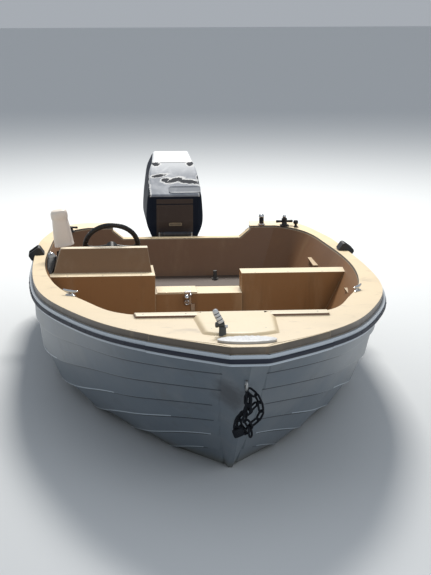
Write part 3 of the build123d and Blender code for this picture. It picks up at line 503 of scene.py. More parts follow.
# pieces: mesh helpers, all in metres and in the boat's frame
def softenEdges(thing, width, segments, angle):
    edge = thing.modifiers.new("softEdges", "BEVEL")
    edge.width = width
    edge.segments = segments
    edge.limit_method = "ANGLE"
    edge.angle_limit = math.radians(angle)
    edge.harden_normals = True


def meshPiece(name, build, body, slotName, sharpAngle=50, bevelWidth=0.0, paint=None):
    shape = bmesh.new()
    build(shape)
    bmesh.ops.recalc_face_normals(shape, faces=shape.faces)
    mesh = bpy.data.meshes.new(name)
    shape.to_mesh(mesh)
    shape.free()
    mesh.materials.append(paints[paint or slotPaints[slotName]])
    mesh.shade_smooth()
    mesh.set_sharp_from_angle(angle=math.radians(sharpAngle))
    thing = bpy.data.objects.new(name, mesh)
    bpy.context.scene.collection.objects.link(thing)
    if bevelWidth:
        softenEdges(thing, bevelWidth, 2, 40)
    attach(thing, body)
    return thing


def arc(start, end, step):
    # cosine and sine of each angle in degrees, the end included
    return [(math.cos(math.radians(a)), math.sin(math.radians(a))) for a in range(start, end + 1, step)]


def at(x, y, z, turnX=0.0, turnY=0.0, turnZ=0.0):
    turn = Euler([math.radians(a) for a in (turnX, turnY, turnZ)]).to_matrix().to_4x4()
    return Matrix.Translation((x, y, z)) @ turn


def axesAt(spot, x, y, z):
    # place at a spot with the three given axes
    return Matrix.Translation(spot) @ Matrix((x, y, z)).transposed().to_4x4()


def pointsIn(place, rows):
    return [place @ Vector(row) for row in rows]


def surfaceHit(nodeName, start, direction):
    # place on a CAD node's surface with Z along its normal
    hit, point, normal, _ = nodes[nodeName].ray_cast(Vector(start), Vector(direction).normalized())
    if not hit:
        return None
    return Matrix.Translation(point) @ normal.to_track_quat("Z", "Y").to_matrix().to_4x4()


def addRings(shape, rings, caps=True):
    # skin over rings of points that all have the same count
    rows = [[shape.verts.new(point) for point in ring] for ring in rings]
    count = len(rows[0])
    for low, high in zip(rows, rows[1:]):
        for i in range(count):
            j = (i + 1) % count
            shape.faces.new((low[i], low[j], high[j], high[i]))
    if caps:
        shape.faces.new(rows[0])
        shape.faces.new(rows[-1])


def ringPoints(place, radius, height, steps, power=2.0, stretch=1.0, dent=None):
    # one ring square to the place's Z, round at power 2 and squarer above it
    points = []
    for i in range(steps):
        t = 2 * math.pi * i / steps
        c, s = math.cos(t), math.sin(t)
        x = math.copysign(abs(c) ** (2 / power), c) * radius
        y = math.copysign(abs(s) ** (2 / power), s) * radius * stretch
        if dent:
            pull = dent["depth"] * math.exp(-((t - dent["angle"]) / dent["width"]) ** 2)
            size = math.hypot(x, y) or 1.0
            x, y = x * (1 - pull / size), y * (1 - pull / size)
        points.append(place @ Vector((x, y, height)))
    return points


def addLathe(shape, place, profile, steps=28):
    # radius and height rows turned about the place's Z axis
    addRings(shape, [ringPoints(place, max(r, 0.0002), h, steps) for r, h in profile])


def addStack(shape, place, size, rows, steps, power, stretch=1.0):
    # share of the size and height rows with a rounded box outline
    addRings(shape, [ringPoints(place, size * k, h, steps, power, stretch) for k, h in rows])


def addBlock(shape, place, size):
    cube = bmesh.ops.create_cube(shape, size=1.0)
    bmesh.ops.transform(shape, matrix=place @ Matrix.Diagonal((*size, 1.0)), verts=cube["verts"])


def addTube(shape, path, radius, sides=10, closed=False):
    # round bar along a line of points, with one radius or one for each point
    last = len(path) - 1
    widths = radius if isinstance(radius, list) else [radius] * len(path)
    rings = []
    side = None
    for i, point in enumerate(path):
        before = path[i - 1] if i > 0 or closed else point
        after = path[(i + 1) % len(path)] if i < last or closed else point
        along = (after - before).normalized()
        if side is None:
            side = along.orthogonal().normalized()
        side = (side - along * side.dot(along)).normalized()
        other = along.cross(side)
        turns = [2 * math.pi * k / sides for k in range(sides)]
        rings.append([point + (side * math.cos(t) + other * math.sin(t)) * widths[i] for t in turns])
    if not closed:
        addRings(shape, rings)
        return
    rows = [[shape.verts.new(p) for p in ring] for ring in rings]
    for low, high in zip(rows, rows[1:] + rows[:1]):
        shift = 0
        if high is rows[0]:
            shift = min(range(sides), key=lambda k: (high[k].co - low[0].co).length)
        for k in range(sides):
            j = (k + 1) % sides
            shape.faces.new((low[k], low[j], high[(j + shift) % sides], high[(k + shift) % sides]))


def addScrew(shape, place, radius):
    # dished screw head with a raised rim and a cross cut
    rise = radius * 0.45
    profile = [(radius, -rise), (radius, 0), (radius * 0.8, rise * 0.8), (radius * 0.35, rise), (0.0, rise)]
    addLathe(shape, place, profile, 12)
    slot = (radius * 1.1, radius * 0.22, radius * 0.1)
    for angle in (0, 90):
        addBlock(shape, place @ at(0, 0, rise * 1.02, turnZ=angle), slot)


def screwOn(shape, nodeName, start, direction, radius):
    place = surfaceHit(nodeName, start, direction)
    if place:
        addScrew(shape, place, radius)


def smoothLine(points, steps=24):
    # line through all the points with evenly turning corners
    out = []
    for i in range(len(points) - 1):
        four = points[max(i - 1, 0)], points[i], points[i + 1], points[min(i + 2, len(points) - 1)]
        for k in range(steps):
            t = k / steps
            out.append(tuple(0.5 * (2 * b + (c - a) * t + (2 * a - 5 * b + 4 * c - d) * t * t
                                    + (3 * b - a - 3 * c + d) * t ** 3) for a, b, c, d in zip(*four)))
    out.append(points[-1])
    return out


# the deck's upper face, as the source has it
sheerLook = dict(half=2.3, stern=0.49, climb=0.31, kickFrom=1.95, kickRun=0.33, kick=0.045)


def sheerHeight(y):
    look = sheerLook
    t = (look["half"] - y) / (2 * look["half"])
    kick = max(y - look["kickFrom"], 0) / look["kickRun"]
    return look["stern"] + look["climb"] * (0.5 * t + 0.5 * t * t) + look["kick"] * kick ** 2


def onDeck(x, y, rise=0.0, **turns):
    return at(x, y, sheerHeight(y) + rise, **turns)


softNodes = {
    "deck_moulding": 0.006, "foredeck_panel": 0.009, "cockpit_liner": 0.003, "helm_console": 0.008,
    "port_console": 0.008, "centre_sill": 0.007, "stern_bench": 0.008, "side_shelves": 0.003,
    "dash_box": 0.012, "transom_cap": 0.002, "rub_rail": 0.0025, "rub_insert": 0.003, "gunwale_pads": 0.003,
    "sill_latch": 0.001, "wheel_rim": 0.002, "cowl_front_panel": 0.0015, "cowl_pan": 0.003,
    "clamp_bracket": 0.003, "swivel_bracket": 0.003, "midsection": 0.004, "vent_plate": 0.002,
    "gearcase": 0.002, "propeller": 0.001, "hull_shell": 0.002, "keel_strip": 0.004,
}
for name, width in softNodes.items():
    softenEdges(nodes[name], width, 3 if width > 0.004 else 2, 28)
print("edges of the CAD nodes softened")


# jug turned over the control lever: blown plastic with a head, a waist and a finger dent
jugLook = dict(
    x=-0.766, y=0.985, z=0.628, lean=-9, form=(48, 2.7, 0.92), wall=0.003, dent=0.009, dentAngle=338,
    dentWidth=0.32, dentFrom=0.02, dentTo=0.148,
    profile=[(0.0545, 0.0), (0.058, 0.0), (0.0585, 0.005), (0.057, 0.008), (0.0565, 0.03), (0.055, 0.06),
        (0.0525, 0.09), (0.05, 0.12), (0.0478, 0.14), (0.0462, 0.152), (0.0465, 0.158), (0.0492, 0.166),
        (0.05, 0.174), (0.0498, 0.186), (0.0485, 0.196), (0.0455, 0.204), (0.0405, 0.2095), (0.034, 0.212),
        (0.02, 0.213), (0.0, 0.2135)],
)


def buildJug(shape):
    look = jugLook
    place = at(look["x"], look["y"], look["z"], turnY=look["lean"])
    outer = []
    for radius, height in look["profile"]:
        below = min(max((height - look["dentFrom"]) / 0.03, 0), 1)
        above = min(max((look["dentTo"] - height) / 0.02, 0), 1)
        dent = dict(depth=look["dent"] * below * above, angle=math.radians(look["dentAngle"]),
                    width=look["dentWidth"])
        outer.append(ringPoints(place, max(radius, 0.0002), height, *look["form"], dent))
    addRings(shape, outer, caps=False)
    wall = look["wall"]
    inner = [(radius - wall, height - wall if height > 0.2 else height)
             for radius, height in look["profile"][1:16]]
    addRings(shape, [ringPoints(place, r, h, *look["form"]) for r, h in inner], caps=False)


jug = meshPiece("jugShell", buildJug, "boat", "cover_cream", 60)
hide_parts("lever_cover")
print("jug built")


# chain hank with rounded links in three strands, its padlock and shackle
chainLook = dict(
    y=-2.142, bar=0.0049, half=0.0178, bend=0.0108, rolls=(-52, 28),
    strands=[dict(dy=0.0, first=90, count=12, path=[(0.0, 0.572), (0.004, 0.535), (-0.002, 0.495),
        (-0.024, 0.458), (-0.044, 0.43), (-0.028, 0.404), (0.002, 0.398), (0.022, 0.424), (0.044, 0.444),
        (0.062, 0.472), (0.06, 0.51), (0.047, 0.546), (0.024, 0.566)]), dict(dy=-0.012, first=35, count=5,
        path=[(0.01, 0.53), (0.006, 0.492), (-0.006, 0.456), (0.012, 0.424), (0.016, 0.396)]),
        dict(dy=0.012, first=60, count=5, path=[(0.03, 0.5), (0.004, 0.474), (-0.026, 0.462), (-0.03, 0.43),
        (-0.012, 0.4)])],
)


def addLink(shape, place, look):
    # one oval ring of round bar, long along the place's X
    bend = look["bend"]
    straight = look["half"] + look["bar"] - bend
    oval = [(end * (straight + bend * c), end * bend * s, 0) for end in (1, -1) for c, s in arc(-90, 90, 30)]
    addTube(shape, pointsIn(place, oval), look["bar"], 8, closed=True)


def buildChain(shape):
    look = chainLook
    fore = Vector((0, 1, 0))
    for strand in look["strands"]:
        line = smoothLine(strand["path"])
        run = [0.0]
        for a, b in zip(line, line[1:]):
            run.append(run[-1] + math.dist(a, b))
        for k in range(strand["count"]):
            goal = run[-1] * k / (strand["count"] - 1)
            i = max(j for j in range(len(run) - 1) if run[j] <= goal)
            share = (goal - run[i]) / (run[i + 1] - run[i])
            a, b = [Vector((x, look["y"] + strand["dy"], z)) for x, z in line[i:i + 2]]
            along = (b - a).normalized()
            roll = math.radians(look["rolls"][k % 2] if k else strand["first"])
            across = fore * math.cos(roll) + along.cross(fore) * math.sin(roll)
            addLink(shape, axesAt(a.lerp(b, share), along, across.cross(along), across), look)


chain = meshPiece("chainLinks", buildChain, "boat", "chain_black", 70)
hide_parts("bow_chain")

lockLook = dict(
    x=-0.034, y=-2.146, z=0.392, lean=-22, size=0.024, shackle=0.013, bar=0.0035,
    body=[(0.86, -0.012), (1.0, -0.009), (1.0, -0.0012), (0.95, 0.0), (1.0, 0.0012), (1.0, 0.009),
        (0.86, 0.012)],
    keyhole=[(0.006, -0.001), (0.006, 0.001), (0.004, 0.0014), (0.0, 0.0008)],
)


def buildPadlock(shape):
    look = lockLook
    place = at(look["x"], look["y"], look["z"], turnY=look["lean"])
    addStack(shape, place @ at(0, 0, 0, turnX=90), look["size"], look["body"], 24, 5.0, 0.76)
    bow = [(look["shackle"] * c, 0, 0.017 + look["shackle"] * s) for c, s in arc(-20, 200, 20)]
    addTube(shape, pointsIn(place, bow), look["bar"])
    addLathe(shape, place @ at(0, -0.0125, -0.004, turnX=90), look["keyhole"], 16)


meshPiece("padlock", buildPadlock, "boat", "chain_black")
print("chain and padlock built")


# horn cleats on the side decks: base plate, two legs and a tapered bar
hornLook = dict(
    rows=[dict(x=0.74, y=-0.48, turn=60, length=0.1), dict(x=-0.735, y=-0.48, turn=140, length=0.1)],
    foot=[(0.3, -0.002), (0.3, 0.0025), (0.27, 0.0045)],
    leg=[(0.15, 0.0, 0.075), (0.13, 0.1, 0.05), (0.1, 0.2, 0.06)],
    bar=[(-0.5, 0.26, 0.022), (-0.46, 0.255, 0.045), (-0.3, 0.225, 0.065), (-0.12, 0.21, 0.08),
        (0.12, 0.21, 0.08), (0.3, 0.225, 0.065), (0.46, 0.255, 0.045), (0.5, 0.26, 0.022)],
)


def addHornBar(shape, place, length, marks, side=1, sides=12):
    # rows of distance along, height and radius, all as shares of the length
    path = pointsIn(place, [(side * length * a, 0, length * h) for a, h, r in marks])
    addTube(shape, path, [length * r for a, h, r in marks], sides)


def buildSideCleats(shape):
    for row in hornLook["rows"]:
        place, length = onDeck(row["x"], row["y"], turnZ=row["turn"]), row["length"]
        addStack(shape, place, length, hornLook["foot"], 24, 3.2, 0.42)
        for side in (-1, 1):
            addHornBar(shape, place, length, hornLook["leg"], side, 10)
            addScrew(shape, place @ at(side * length * 0.24, 0, 0.0045), 0.0035)
        addHornBar(shape, place, length, hornLook["bar"])


sideCleats = meshPiece("sideHornCleats", buildSideCleats, "boat", "chrome")
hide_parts("side_cleats")


# stern cleats as cross bollards, a post through a horn bar, and a bright cap on the starboard one
bollardRows = [
    dict(x=0.68, y=2.18, turn=4, length=0.112, post=0.05),
    dict(x=-0.725, y=2.11, turn=-20, length=0.09, post=0.034),
]
bollardLook = dict(
    foot=[(1.0, -0.003), (1.0, 0.004), (0.9, 0.006)], barHeight=0.028,
    bar=[(-0.5, 0.05), (-0.47, 0.085), (-0.2, 0.07), (0.2, 0.07), (0.47, 0.085), (0.5, 0.05)],
    cap=[(0.008, 0.0), (0.011, 0.003), (0.0125, 0.009), (0.011, 0.015), (0.006, 0.0195), (0.0, 0.0205)],
)


def buildSternCleats(shape):
    for row in bollardRows:
        place, length, top = onDeck(row["x"], row["y"], turnZ=row["turn"]), row["length"], row["post"]
        r = length * 0.16
        addStack(shape, place, length * 0.26, bollardLook["foot"], 24, 4.0)
        addLathe(shape, place, [(r * 1.2, 0.004), (r, 0.01), (r * 0.86, top * 0.5), (r, top * 0.8),
                                (r * 1.06, top * 0.9), (r * 0.8, top), (0.0, top * 1.03)], 24)
        bar = pointsIn(place, [(length * a, 0, bollardLook["barHeight"]) for a, w in bollardLook["bar"]])
        addTube(shape, bar, [length * w for a, w in bollardLook["bar"]], 12)


def buildBollardCap(shape):
    row = bollardRows[0]
    addLathe(shape, onDeck(row["x"], row["y"], row["post"]), bollardLook["cap"], 20)


sternCleats = meshPiece("sternBollards", buildSternCleats, "boat", "black_plastic")
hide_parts("stern_cleats")
meshPiece("bollardCap", buildBollardCap, "boat", "chrome", 60)


# stern light post: dished foot, dark ribbed sleeve, bright dome
postLook = dict(
    x=0.53, y=2.2,
    foot=[(0.024, -0.002), (0.024, 0.004), (0.021, 0.0065), (0.0165, 0.009), (0.0165, 0.012)],
    dome=[(0.0165, 0.05), (0.018, 0.0515), (0.0182, 0.056), (0.0172, 0.062), (0.0135, 0.0685),
        (0.007, 0.0725), (0.0, 0.0735)],
    ribs=5, ribPitch=0.0072,
)


def buildPostMetal(shape):
    for profile in (postLook["foot"], postLook["dome"]):
        addLathe(shape, onDeck(postLook["x"], postLook["y"]), profile)


def buildPostSleeve(shape):
    profile = [(0.0145, 0.01)]
    for k in range(postLook["ribs"]):
        z = 0.014 + postLook["ribPitch"] * k
        profile += [(0.0158, z), (0.0158, z + 0.0042), (0.0146, z + 0.0052), (0.0146, z + 0.0066)]
    addLathe(shape, onDeck(postLook["x"], postLook["y"]), profile + [(0.0145, 0.052)])


sternPost = meshPiece("sternPostMetal", buildPostMetal, "boat", "chrome")
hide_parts("stern_post")
meshPiece("sternPostSleeve", buildPostSleeve, "boat", "black_plastic", 40)

knobLook = dict(
    x=0.752, y=2.15,
    profile=[(0.015, -0.002), (0.015, 0.003), (0.011, 0.005), (0.008, 0.009), (0.0078, 0.014),
        (0.0125, 0.0185), (0.0162, 0.025), (0.0168, 0.031), (0.0145, 0.0385), (0.009, 0.0435),
        (0.0, 0.045)],
)


def buildKnob(shape):
    addLathe(shape, onDeck(knobLook["x"], knobLook["y"]), knobLook["profile"])


sternKnob = meshPiece("sternKnobBall", buildKnob, "boat", "black_plastic")
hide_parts("stern_knob")
print("deck fittings built")


# screws along the rub rail's dark insert, and on the foredeck panel, consoles and stern bench
railLook = dict(first=-1.9, last=2.0, pitch=0.195, insertDrop=0.06, radius=0.0042)
panelScrewLook = dict(
    above=1.2, radius=0.004,
    rows=[("foredeck_panel", (-0.40, -0.2, 0.2, 0.42), -1.29), ("foredeck_panel", (-0.12, 0.12), -1.8),
        ("helm_console", (-0.75, -0.55, -0.33), 0.645), ("port_console", (0.33, 0.52, 0.72), 0.675),
        ("stern_bench", (-0.4, -0.1, 0.35), 1.81)],
)


def buildRailScrews(shape):
    look = railLook
    count = int((look["last"] - look["first"]) / look["pitch"]) + 1
    for side in (-1, 1):
        for k in range(count):
            y = look["first"] + k * look["pitch"]
            start = (side * 1.3, y, sheerHeight(y) - look["insertDrop"])
            screwOn(shape, "rub_insert", start, (-side, 0, 0), look["radius"])


def buildPanelScrews(shape):
    look = panelScrewLook
    for node, xs, y in look["rows"]:
        for x in xs:
            screwOn(shape, node, (x, y, look["above"]), (0, 0, -1), look["radius"])


meshPiece("railScrews", buildRailScrews, "boat", "rail_dark")
meshPiece("panelScrews", buildPanelScrews, "boat", "steel")
print("screws set")


# steering wheel: hub cap and badge, webs and ribs on the spokes, grips under the rim
wheelLook = dict(
    x=-0.489, y=1.0, z=0.616, rake=61.7, radius=0.1555, tube=0.0145, spokes=(8, 90, 172), grips=40,
    grip=[0.0005, 0.0012, 0.0016, 0.0018, 0.0018, 0.0018, 0.0016, 0.0012, 0.0005],
    cap=[(0.0305, 0.0), (0.0305, 0.0035), (0.0285, 0.0055), (0.025, 0.0062), (0.0242, 0.0092),
        (0.0225, 0.0102), (0.012, 0.0118), (0.0, 0.0122)],
    badge=[(0.0105, 0.0112), (0.0105, 0.0132), (0.0085, 0.0148), (0.0, 0.0152)],
    flare=[(0.03, 0.016, -0.0085, 0.001), (0.07, 0.0135, -0.0085, 0.001), (0.105, 0.0145, -0.0088, 0.0012),
        (0.128, 0.023, -0.0088, 0.0012), (0.143, 0.038, -0.007, 0.001), (0.152, 0.05, -0.004, 0.0)],
    rib=[(0.034, 1.15, 0.0022), (0.06, 1.0, 0.0026), (0.1, 0.8, 0.0026), (0.14, 1.0, 0.002)],
    stud=[(0.0045, -0.001), (0.0045, 0.0007), (0.003, 0.0012), (0.0, 0.0004)],
)
wheelPlace = at(wheelLook["x"], wheelLook["y"], wheelLook["z"], turnX=-wheelLook["rake"])
spokePlaces = [wheelPlace @ at(0, 0, 0, turnZ=angle) for angle in wheelLook["spokes"]]


def buildSpokeFlares(shape):
    # webs that widen each spoke where it meets the rim
    for place in spokePlaces:
        rings = []
        for r, half, low, high in wheelLook["flare"]:
            upper = [(r, share * half, high) for share in (1.0, 0.86, -0.86, -1.0)]
            rings.append(pointsIn(place, [(r, -half, low), (r, half, low)] + upper))
        addRings(shape, rings)


def buildSpokeRibs(shape):
    for place in spokePlaces:
        for shift in (-0.0085, 0.0085):
            rib = pointsIn(place, [(r, shift * k, 0.0006) for r, k, width in wheelLook["rib"]])
            addTube(shape, rib, [width for r, k, width in wheelLook["rib"]], 8)
        for r in (0.055, 0.085, 0.115):
            addLathe(shape, place @ at(r, 0, 0), wheelLook["stud"], 14)


def buildRimGrips(shape):
    # finger swells round the back of the rim
    count, tube = wheelLook["grips"], wheelLook["tube"]
    for k in range(count):
        place = wheelPlace @ at(0, 0, 0, turnZ=360 * k / count) @ at(wheelLook["radius"], 0, 0)
        ring = pointsIn(place, [(tube * c, 0, tube * s) for c, s in arc(150, 390, 30)])
        addTube(shape, ring, wheelLook["grip"], 6)


meshPiece("hubCap", lambda shape: addLathe(shape, wheelPlace, wheelLook["cap"], 36), "wheel", "wheel_black")
meshPiece("hubBadge", lambda shape: addLathe(shape, wheelPlace, wheelLook["badge"]), "wheel", "chrome")
meshPiece("spokeFlares", buildSpokeFlares, "wheel", "wheel_black", 30, 0.0015)
meshPiece("spokeRibs", buildSpokeRibs, "wheel", "wheel_black")
meshPiece("rimGrips", buildRimGrips, "wheel", "wheel_black")


# instruments on the aft face of the dash: blank gauges, key, and a plate of three rockers
dashLook = dict(
    gauges=[(-0.695, 0.026), (-0.348, 0.026)], height=0.586, switches=(-0.752, 0.575), key=(-0.302, 0.548),
    rim=[(1.12, -0.001), (1.12, 0.003), (1.04, 0.007), (0.94, 0.0072), (0.9, 0.004), (0.9, 0.0),
        (0.0, 0.0)],
    face=[(0.9, 0.001), (0.9, 0.0042), (0.5, 0.0052), (0.0, 0.0055)],
    lock=[(0.013, -0.001), (0.013, 0.003), (0.011, 0.006), (0.0075, 0.0065), (0.0075, 0.009), (0.0, 0.009)],
)


def dashPlace(x, height):
    return surfaceHit("dash_box", (x, 1.3, height), (0, -1, 0))


def addGauges(shape, profile, steps):
    for x, radius in dashLook["gauges"]:
        addLathe(shape, dashPlace(x, dashLook["height"]), [(radius * k, h) for k, h in profile], steps)


def buildGaugeRims(shape):
    addGauges(shape, dashLook["rim"], 40)
    key = dashPlace(*dashLook["key"])
    addLathe(shape, key, dashLook["lock"])
    addBlock(shape, key @ at(0, 0, 0.0165), (0.0024, 0.017, 0.016))


def buildGaugeFaces(shape):
    addGauges(shape, dashLook["face"], 36)
    place = dashPlace(*dashLook["switches"])
    addBlock(shape, place @ at(0, 0, 0.0015), (0.05, 0.088, 0.005))
    for k in (-1, 0, 1):
        addBlock(shape, place @ at(0, 0.026 * k, 0.0055, turnX=9), (0.03, 0.018, 0.008))


meshPiece("gaugeRims", buildGaugeRims, "boat", "chrome", 45)
meshPiece("gaugeFaces", buildGaugeFaces, "boat", "black_plastic", 40, 0.0012)
print("helm dressed")


# remote control on the starboard wall: slim housing, a dark sheet that paints the shade between coaming and
# dash, chromed side plate and bright bracket
controlLook = dict(
    x=(-0.868, -0.8135), y=(0.934, 1.042), z=(0.471, 0.563), plateX=-0.813, plateY=0.985, hoops=4,
    hoopY=1.06, hoopPitch=0.02, hoopX=-0.846,
    cover=[(0.715, 0.509, 0.514, -0.846, -0.858), (0.73, 0.509, 0.521, -0.838, -0.866),
        (0.8, 0.509, 0.533, -0.824, -0.869), (0.88, 0.509, 0.55, -0.815, -0.868),
        (0.94, 0.509, 0.56, -0.8135, -0.866), (1.0, 0.509, 0.563, -0.8135, -0.864)],
    plate=[(0.026, -0.001), (0.026, 0.002), (0.023, 0.004), (0.018, 0.0045), (0.016, 0.009), (0.01, 0.011),
        (0.0, 0.0115)],
)


def buildControlBody(shape):
    look = controlLook
    x, y = 0.5 * sum(look["x"]), 0.5 * sum(look["y"])
    wide, deep = 0.5 * (look["x"][1] - look["x"][0]), 0.5 * (look["y"][1] - look["y"][0])
    low, high = look["z"]
    layers = [(0.94, low), (1.0, low + 0.004), (1.0, high - 0.02), (0.97, high - 0.009), (0.88, high - 0.002),
              (0.7, high), (0.2, high + 0.0005)]
    addStack(shape, at(x, y, 0), wide, layers, 32, 6.0, deep / wide)


def buildShadeFiller(shape):
    # tapering dark sheet between coaming and dash, from the housing forward: painted shade over the gap
    rings = []
    for y, low, high, inner, outer in controlLook["cover"]:
        wide, tall = 0.5 * (inner - outer), 0.5 * (high - low)
        place = at(0.5 * (inner + outer), y, 0.5 * (low + high), turnX=90)
        rings.append(ringPoints(place, wide, 0.0, 20, 4.5, tall / wide))
    addRings(shape, rings)


def buildControlTrim(shape):
    look = controlLook
    addLathe(shape, at(look["plateX"], look["plateY"], 0.532, turnY=90), look["plate"], 36)
    for dz in (0.02, -0.05):
        for dy in (-0.04, 0.04):
            addScrew(shape, at(look["plateX"] - 0.0002, look["plateY"] + dy, 0.53 + dz, turnY=90), 0.004)
    for k in range(look["hoops"]):
        place = onDeck(look["hoopX"], look["hoopY"] + look["hoopPitch"] * k, -0.006)
        addTube(shape, pointsIn(place, [(-0.019 * c, 0, 0.024 * s) for c, s in arc(0, 180, 20)]), 0.0042, 8)


controlBody = meshPiece("controlHousing", buildControlBody, "boat", "black_plastic")
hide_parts("control_box")
meshPiece("shadeFiller", buildShadeFiller, "boat", "black_plastic", 60)
meshPiece("controlTrim", buildControlTrim, "boat", "chrome")


# bow light: grey foot and clamp on the deck, a leaning pale tube with dark bands
lightLook = dict(
    x=-0.086, y=-1.93, lean=-27, foot=0.042, joint=0.052,
    clamp=[(0.008, -0.027), (0.0125, -0.025), (0.0125, -0.016), (0.0095, -0.014), (0.0115, -0.01),
        (0.0115, 0.012), (0.008, 0.014)],
    tube=[(0.0125, 0.006), (0.0145, 0.008), (0.0145, 0.02), (0.0132, 0.021), (0.0132, 0.0225),
        (0.0142, 0.0235), (0.014, 0.036), (0.0128, 0.037), (0.0128, 0.0385), (0.0136, 0.0395),
        (0.0134, 0.051), (0.0122, 0.052), (0.0122, 0.0535), (0.0128, 0.0545), (0.0126, 0.062),
        (0.0108, 0.0685), (0.0065, 0.0725), (0.0, 0.0738)],
    knob=[(0.006, -0.005), (0.0075, -0.003), (0.0075, 0.006), (0.005, 0.0085), (0.0, 0.009)],
    bands=[(0.0218, 0.0146), (0.0378, 0.0142), (0.0528, 0.0135), (0.0065, 0.0152)],
)
lightPlace = onDeck(lightLook["x"], lightLook["y"], lightLook["joint"], turnY=lightLook["lean"])


def buildLightFoot(shape):
    look = lightLook
    layers = [(1.1, 0.0), (1.1, 0.004), (1.0, 0.006), (0.94, look["foot"] - 0.003), (0.86, look["foot"])]
    addStack(shape, onDeck(look["x"] + 0.003, look["y"], -0.002), 0.0155, layers, 24, 6.0)
    addLathe(shape, onDeck(look["x"] - 0.002, look["y"], look["foot"] + 0.007, turnY=90), look["clamp"], 24)


def buildLightTube(shape):
    look = lightLook
    addLathe(shape, lightPlace, look["tube"])
    side = at(look["x"] + 0.017, look["y"] - 0.004, sheerHeight(look["y"]) + 0.042, turnY=90)
    addLathe(shape, side, look["knob"], 20)


def buildLightBands(shape):
    for z, radius in lightLook["bands"]:
        addLathe(shape, lightPlace, [(radius - 0.002, z - 0.0018), (radius, z - 0.0012), (radius + 0.0004, z),
                                     (radius, z + 0.0012), (radius - 0.002, z + 0.0018)])


lightFoot = meshPiece("bowLightFoot", buildLightFoot, "boat", "plate_grey", 45, paint="greyCast")
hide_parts("bow_light")
meshPiece("bowLightTube", buildLightTube, "boat", "plate_grey")
meshPiece("lightBands", buildLightBands, "boat", "black_plastic", 45)


# blank bow plate, a thin dished oval with a wavy surface
plateLook = dict(x=0.006, y=-2.112, rx=0.127, ry=0.085, rise=0.011, steps=96, rings=16)


def plateRing(share):
    look = plateLook
    ring = []
    for i in range(look["steps"]):
        t = 2 * math.pi * i / look["steps"]
        x, y = look["rx"] * share * math.cos(t), look["ry"] * share * math.sin(t)
        wave = 0.0017 * math.sin(x * 230 + 2.0 * math.sin(y * 120)) * math.cos(y * 170 + x * 30)
        rise = look["rise"] + min((1 - share) * 8, 1) * (0.003 + wave)
        ring.append(Vector((look["x"] + x, look["y"] + y, sheerHeight(look["y"] + y) + rise)))
    return ring


def buildBowPlate(shape):
    look = plateLook
    rows = [plateRing(1 - k / look["rings"] * 0.995) for k in range(look["rings"] + 1)]
    middle = Vector((look["x"], look["y"], 0))
    foot = [middle + (p - middle) * 0.97 for p in rows[0]]
    foot = [Vector((f.x, f.y, p.z - look["rise"] - 0.001)) for f, p in zip(foot, rows[0])]
    skirt = [p - Vector((0, 0, 0.0045)) for p in rows[0]]
    addRings(shape, [foot, skirt] + rows)


bowPlate = meshPiece("bowPlateFace", buildBowPlate, "boat", "plate_grey")
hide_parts("bow_plate")


# foredeck panel as a soft plateau with a bowed front, and the lip behind it
panelLook = dict(
    outline=[(-0.156, -1.24), (0.2, -1.24), (0.2, -1.345), (0.158, -1.87), (0.115, -1.912), (0.06, -1.942),
        (0.0, -1.952), (-0.06, -1.944), (-0.112, -1.916), (-0.152, -1.872), (-0.156, -1.345)],
    profile=[(0.016, -0.001), (0.013, 0.0012), (0.006, 0.0062), (0.0, 0.0112), (-0.006, 0.0136),
        (-0.014, 0.0146), (-0.03, 0.0148)],
    corner=0.012,
)
lipLook = dict(
    outline=[(-0.44, -1.2285), (0.475, -1.2285), (0.468, -1.345), (0.2, -1.345), (-0.156, -1.345),
        (-0.437, -1.345)],
    profile=[(0.009, -0.001), (0.006, 0.0008), (0.0022, 0.003), (0.0006, 0.007), (0.0, 0.0112),
        (-0.001, 0.0128), (-0.003, 0.0136), (-0.0045, 0.0138)],
    corner=0.002,
)


def roundedLoop(points, radius, steps=5):
    # closed outline with each corner cut by a small arc
    out = []
    for i, point in enumerate(points):
        here = Vector(point)
        ways = [Vector(points[i - 1]) - here, Vector(points[(i + 1) % len(points)]) - here]
        back, ahead = [here + way.normalized() * min(radius, way.length * 0.45) for way in ways]
        for k in range(steps + 1):
            s = k / steps
            out.append(back * (1 - s) ** 2 + here * 2 * s * (1 - s) + ahead * s * s)
    return out


def grownLoop(points, grow):
    # outline moved out along the mean of its neighbours' normals
    area = sum(a.x * b.y - b.x * a.y for a, b in zip(points, points[1:] + points[:1]))
    turn = 1 if area > 0 else -1
    out = []
    for i, here in enumerate(points):
        along = points[(i + 1) % len(points)] - points[i - 1]
        out.append(here + Vector((along.y, -along.x)).normalized() * grow * turn)
    return out


def addPlateau(shape, look):
    loop = roundedLoop(look["outline"], look["corner"])
    addRings(shape, [[Vector((p.x, p.y, sheerHeight(p.y) + rise)) for p in grownLoop(loop, grow)]
                     for grow, rise in look["profile"]])


panelTop = meshPiece("panelPlateau", lambda shape: addPlateau(shape, panelLook), "boat", "deck_gelcoat", 60,
                     paint="tanPanel")
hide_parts("foredeck_panel")
meshPiece("coamingLip", lambda shape: addPlateau(shape, lipLook), "boat", "deck_gelcoat", 40, paint="tanLip")


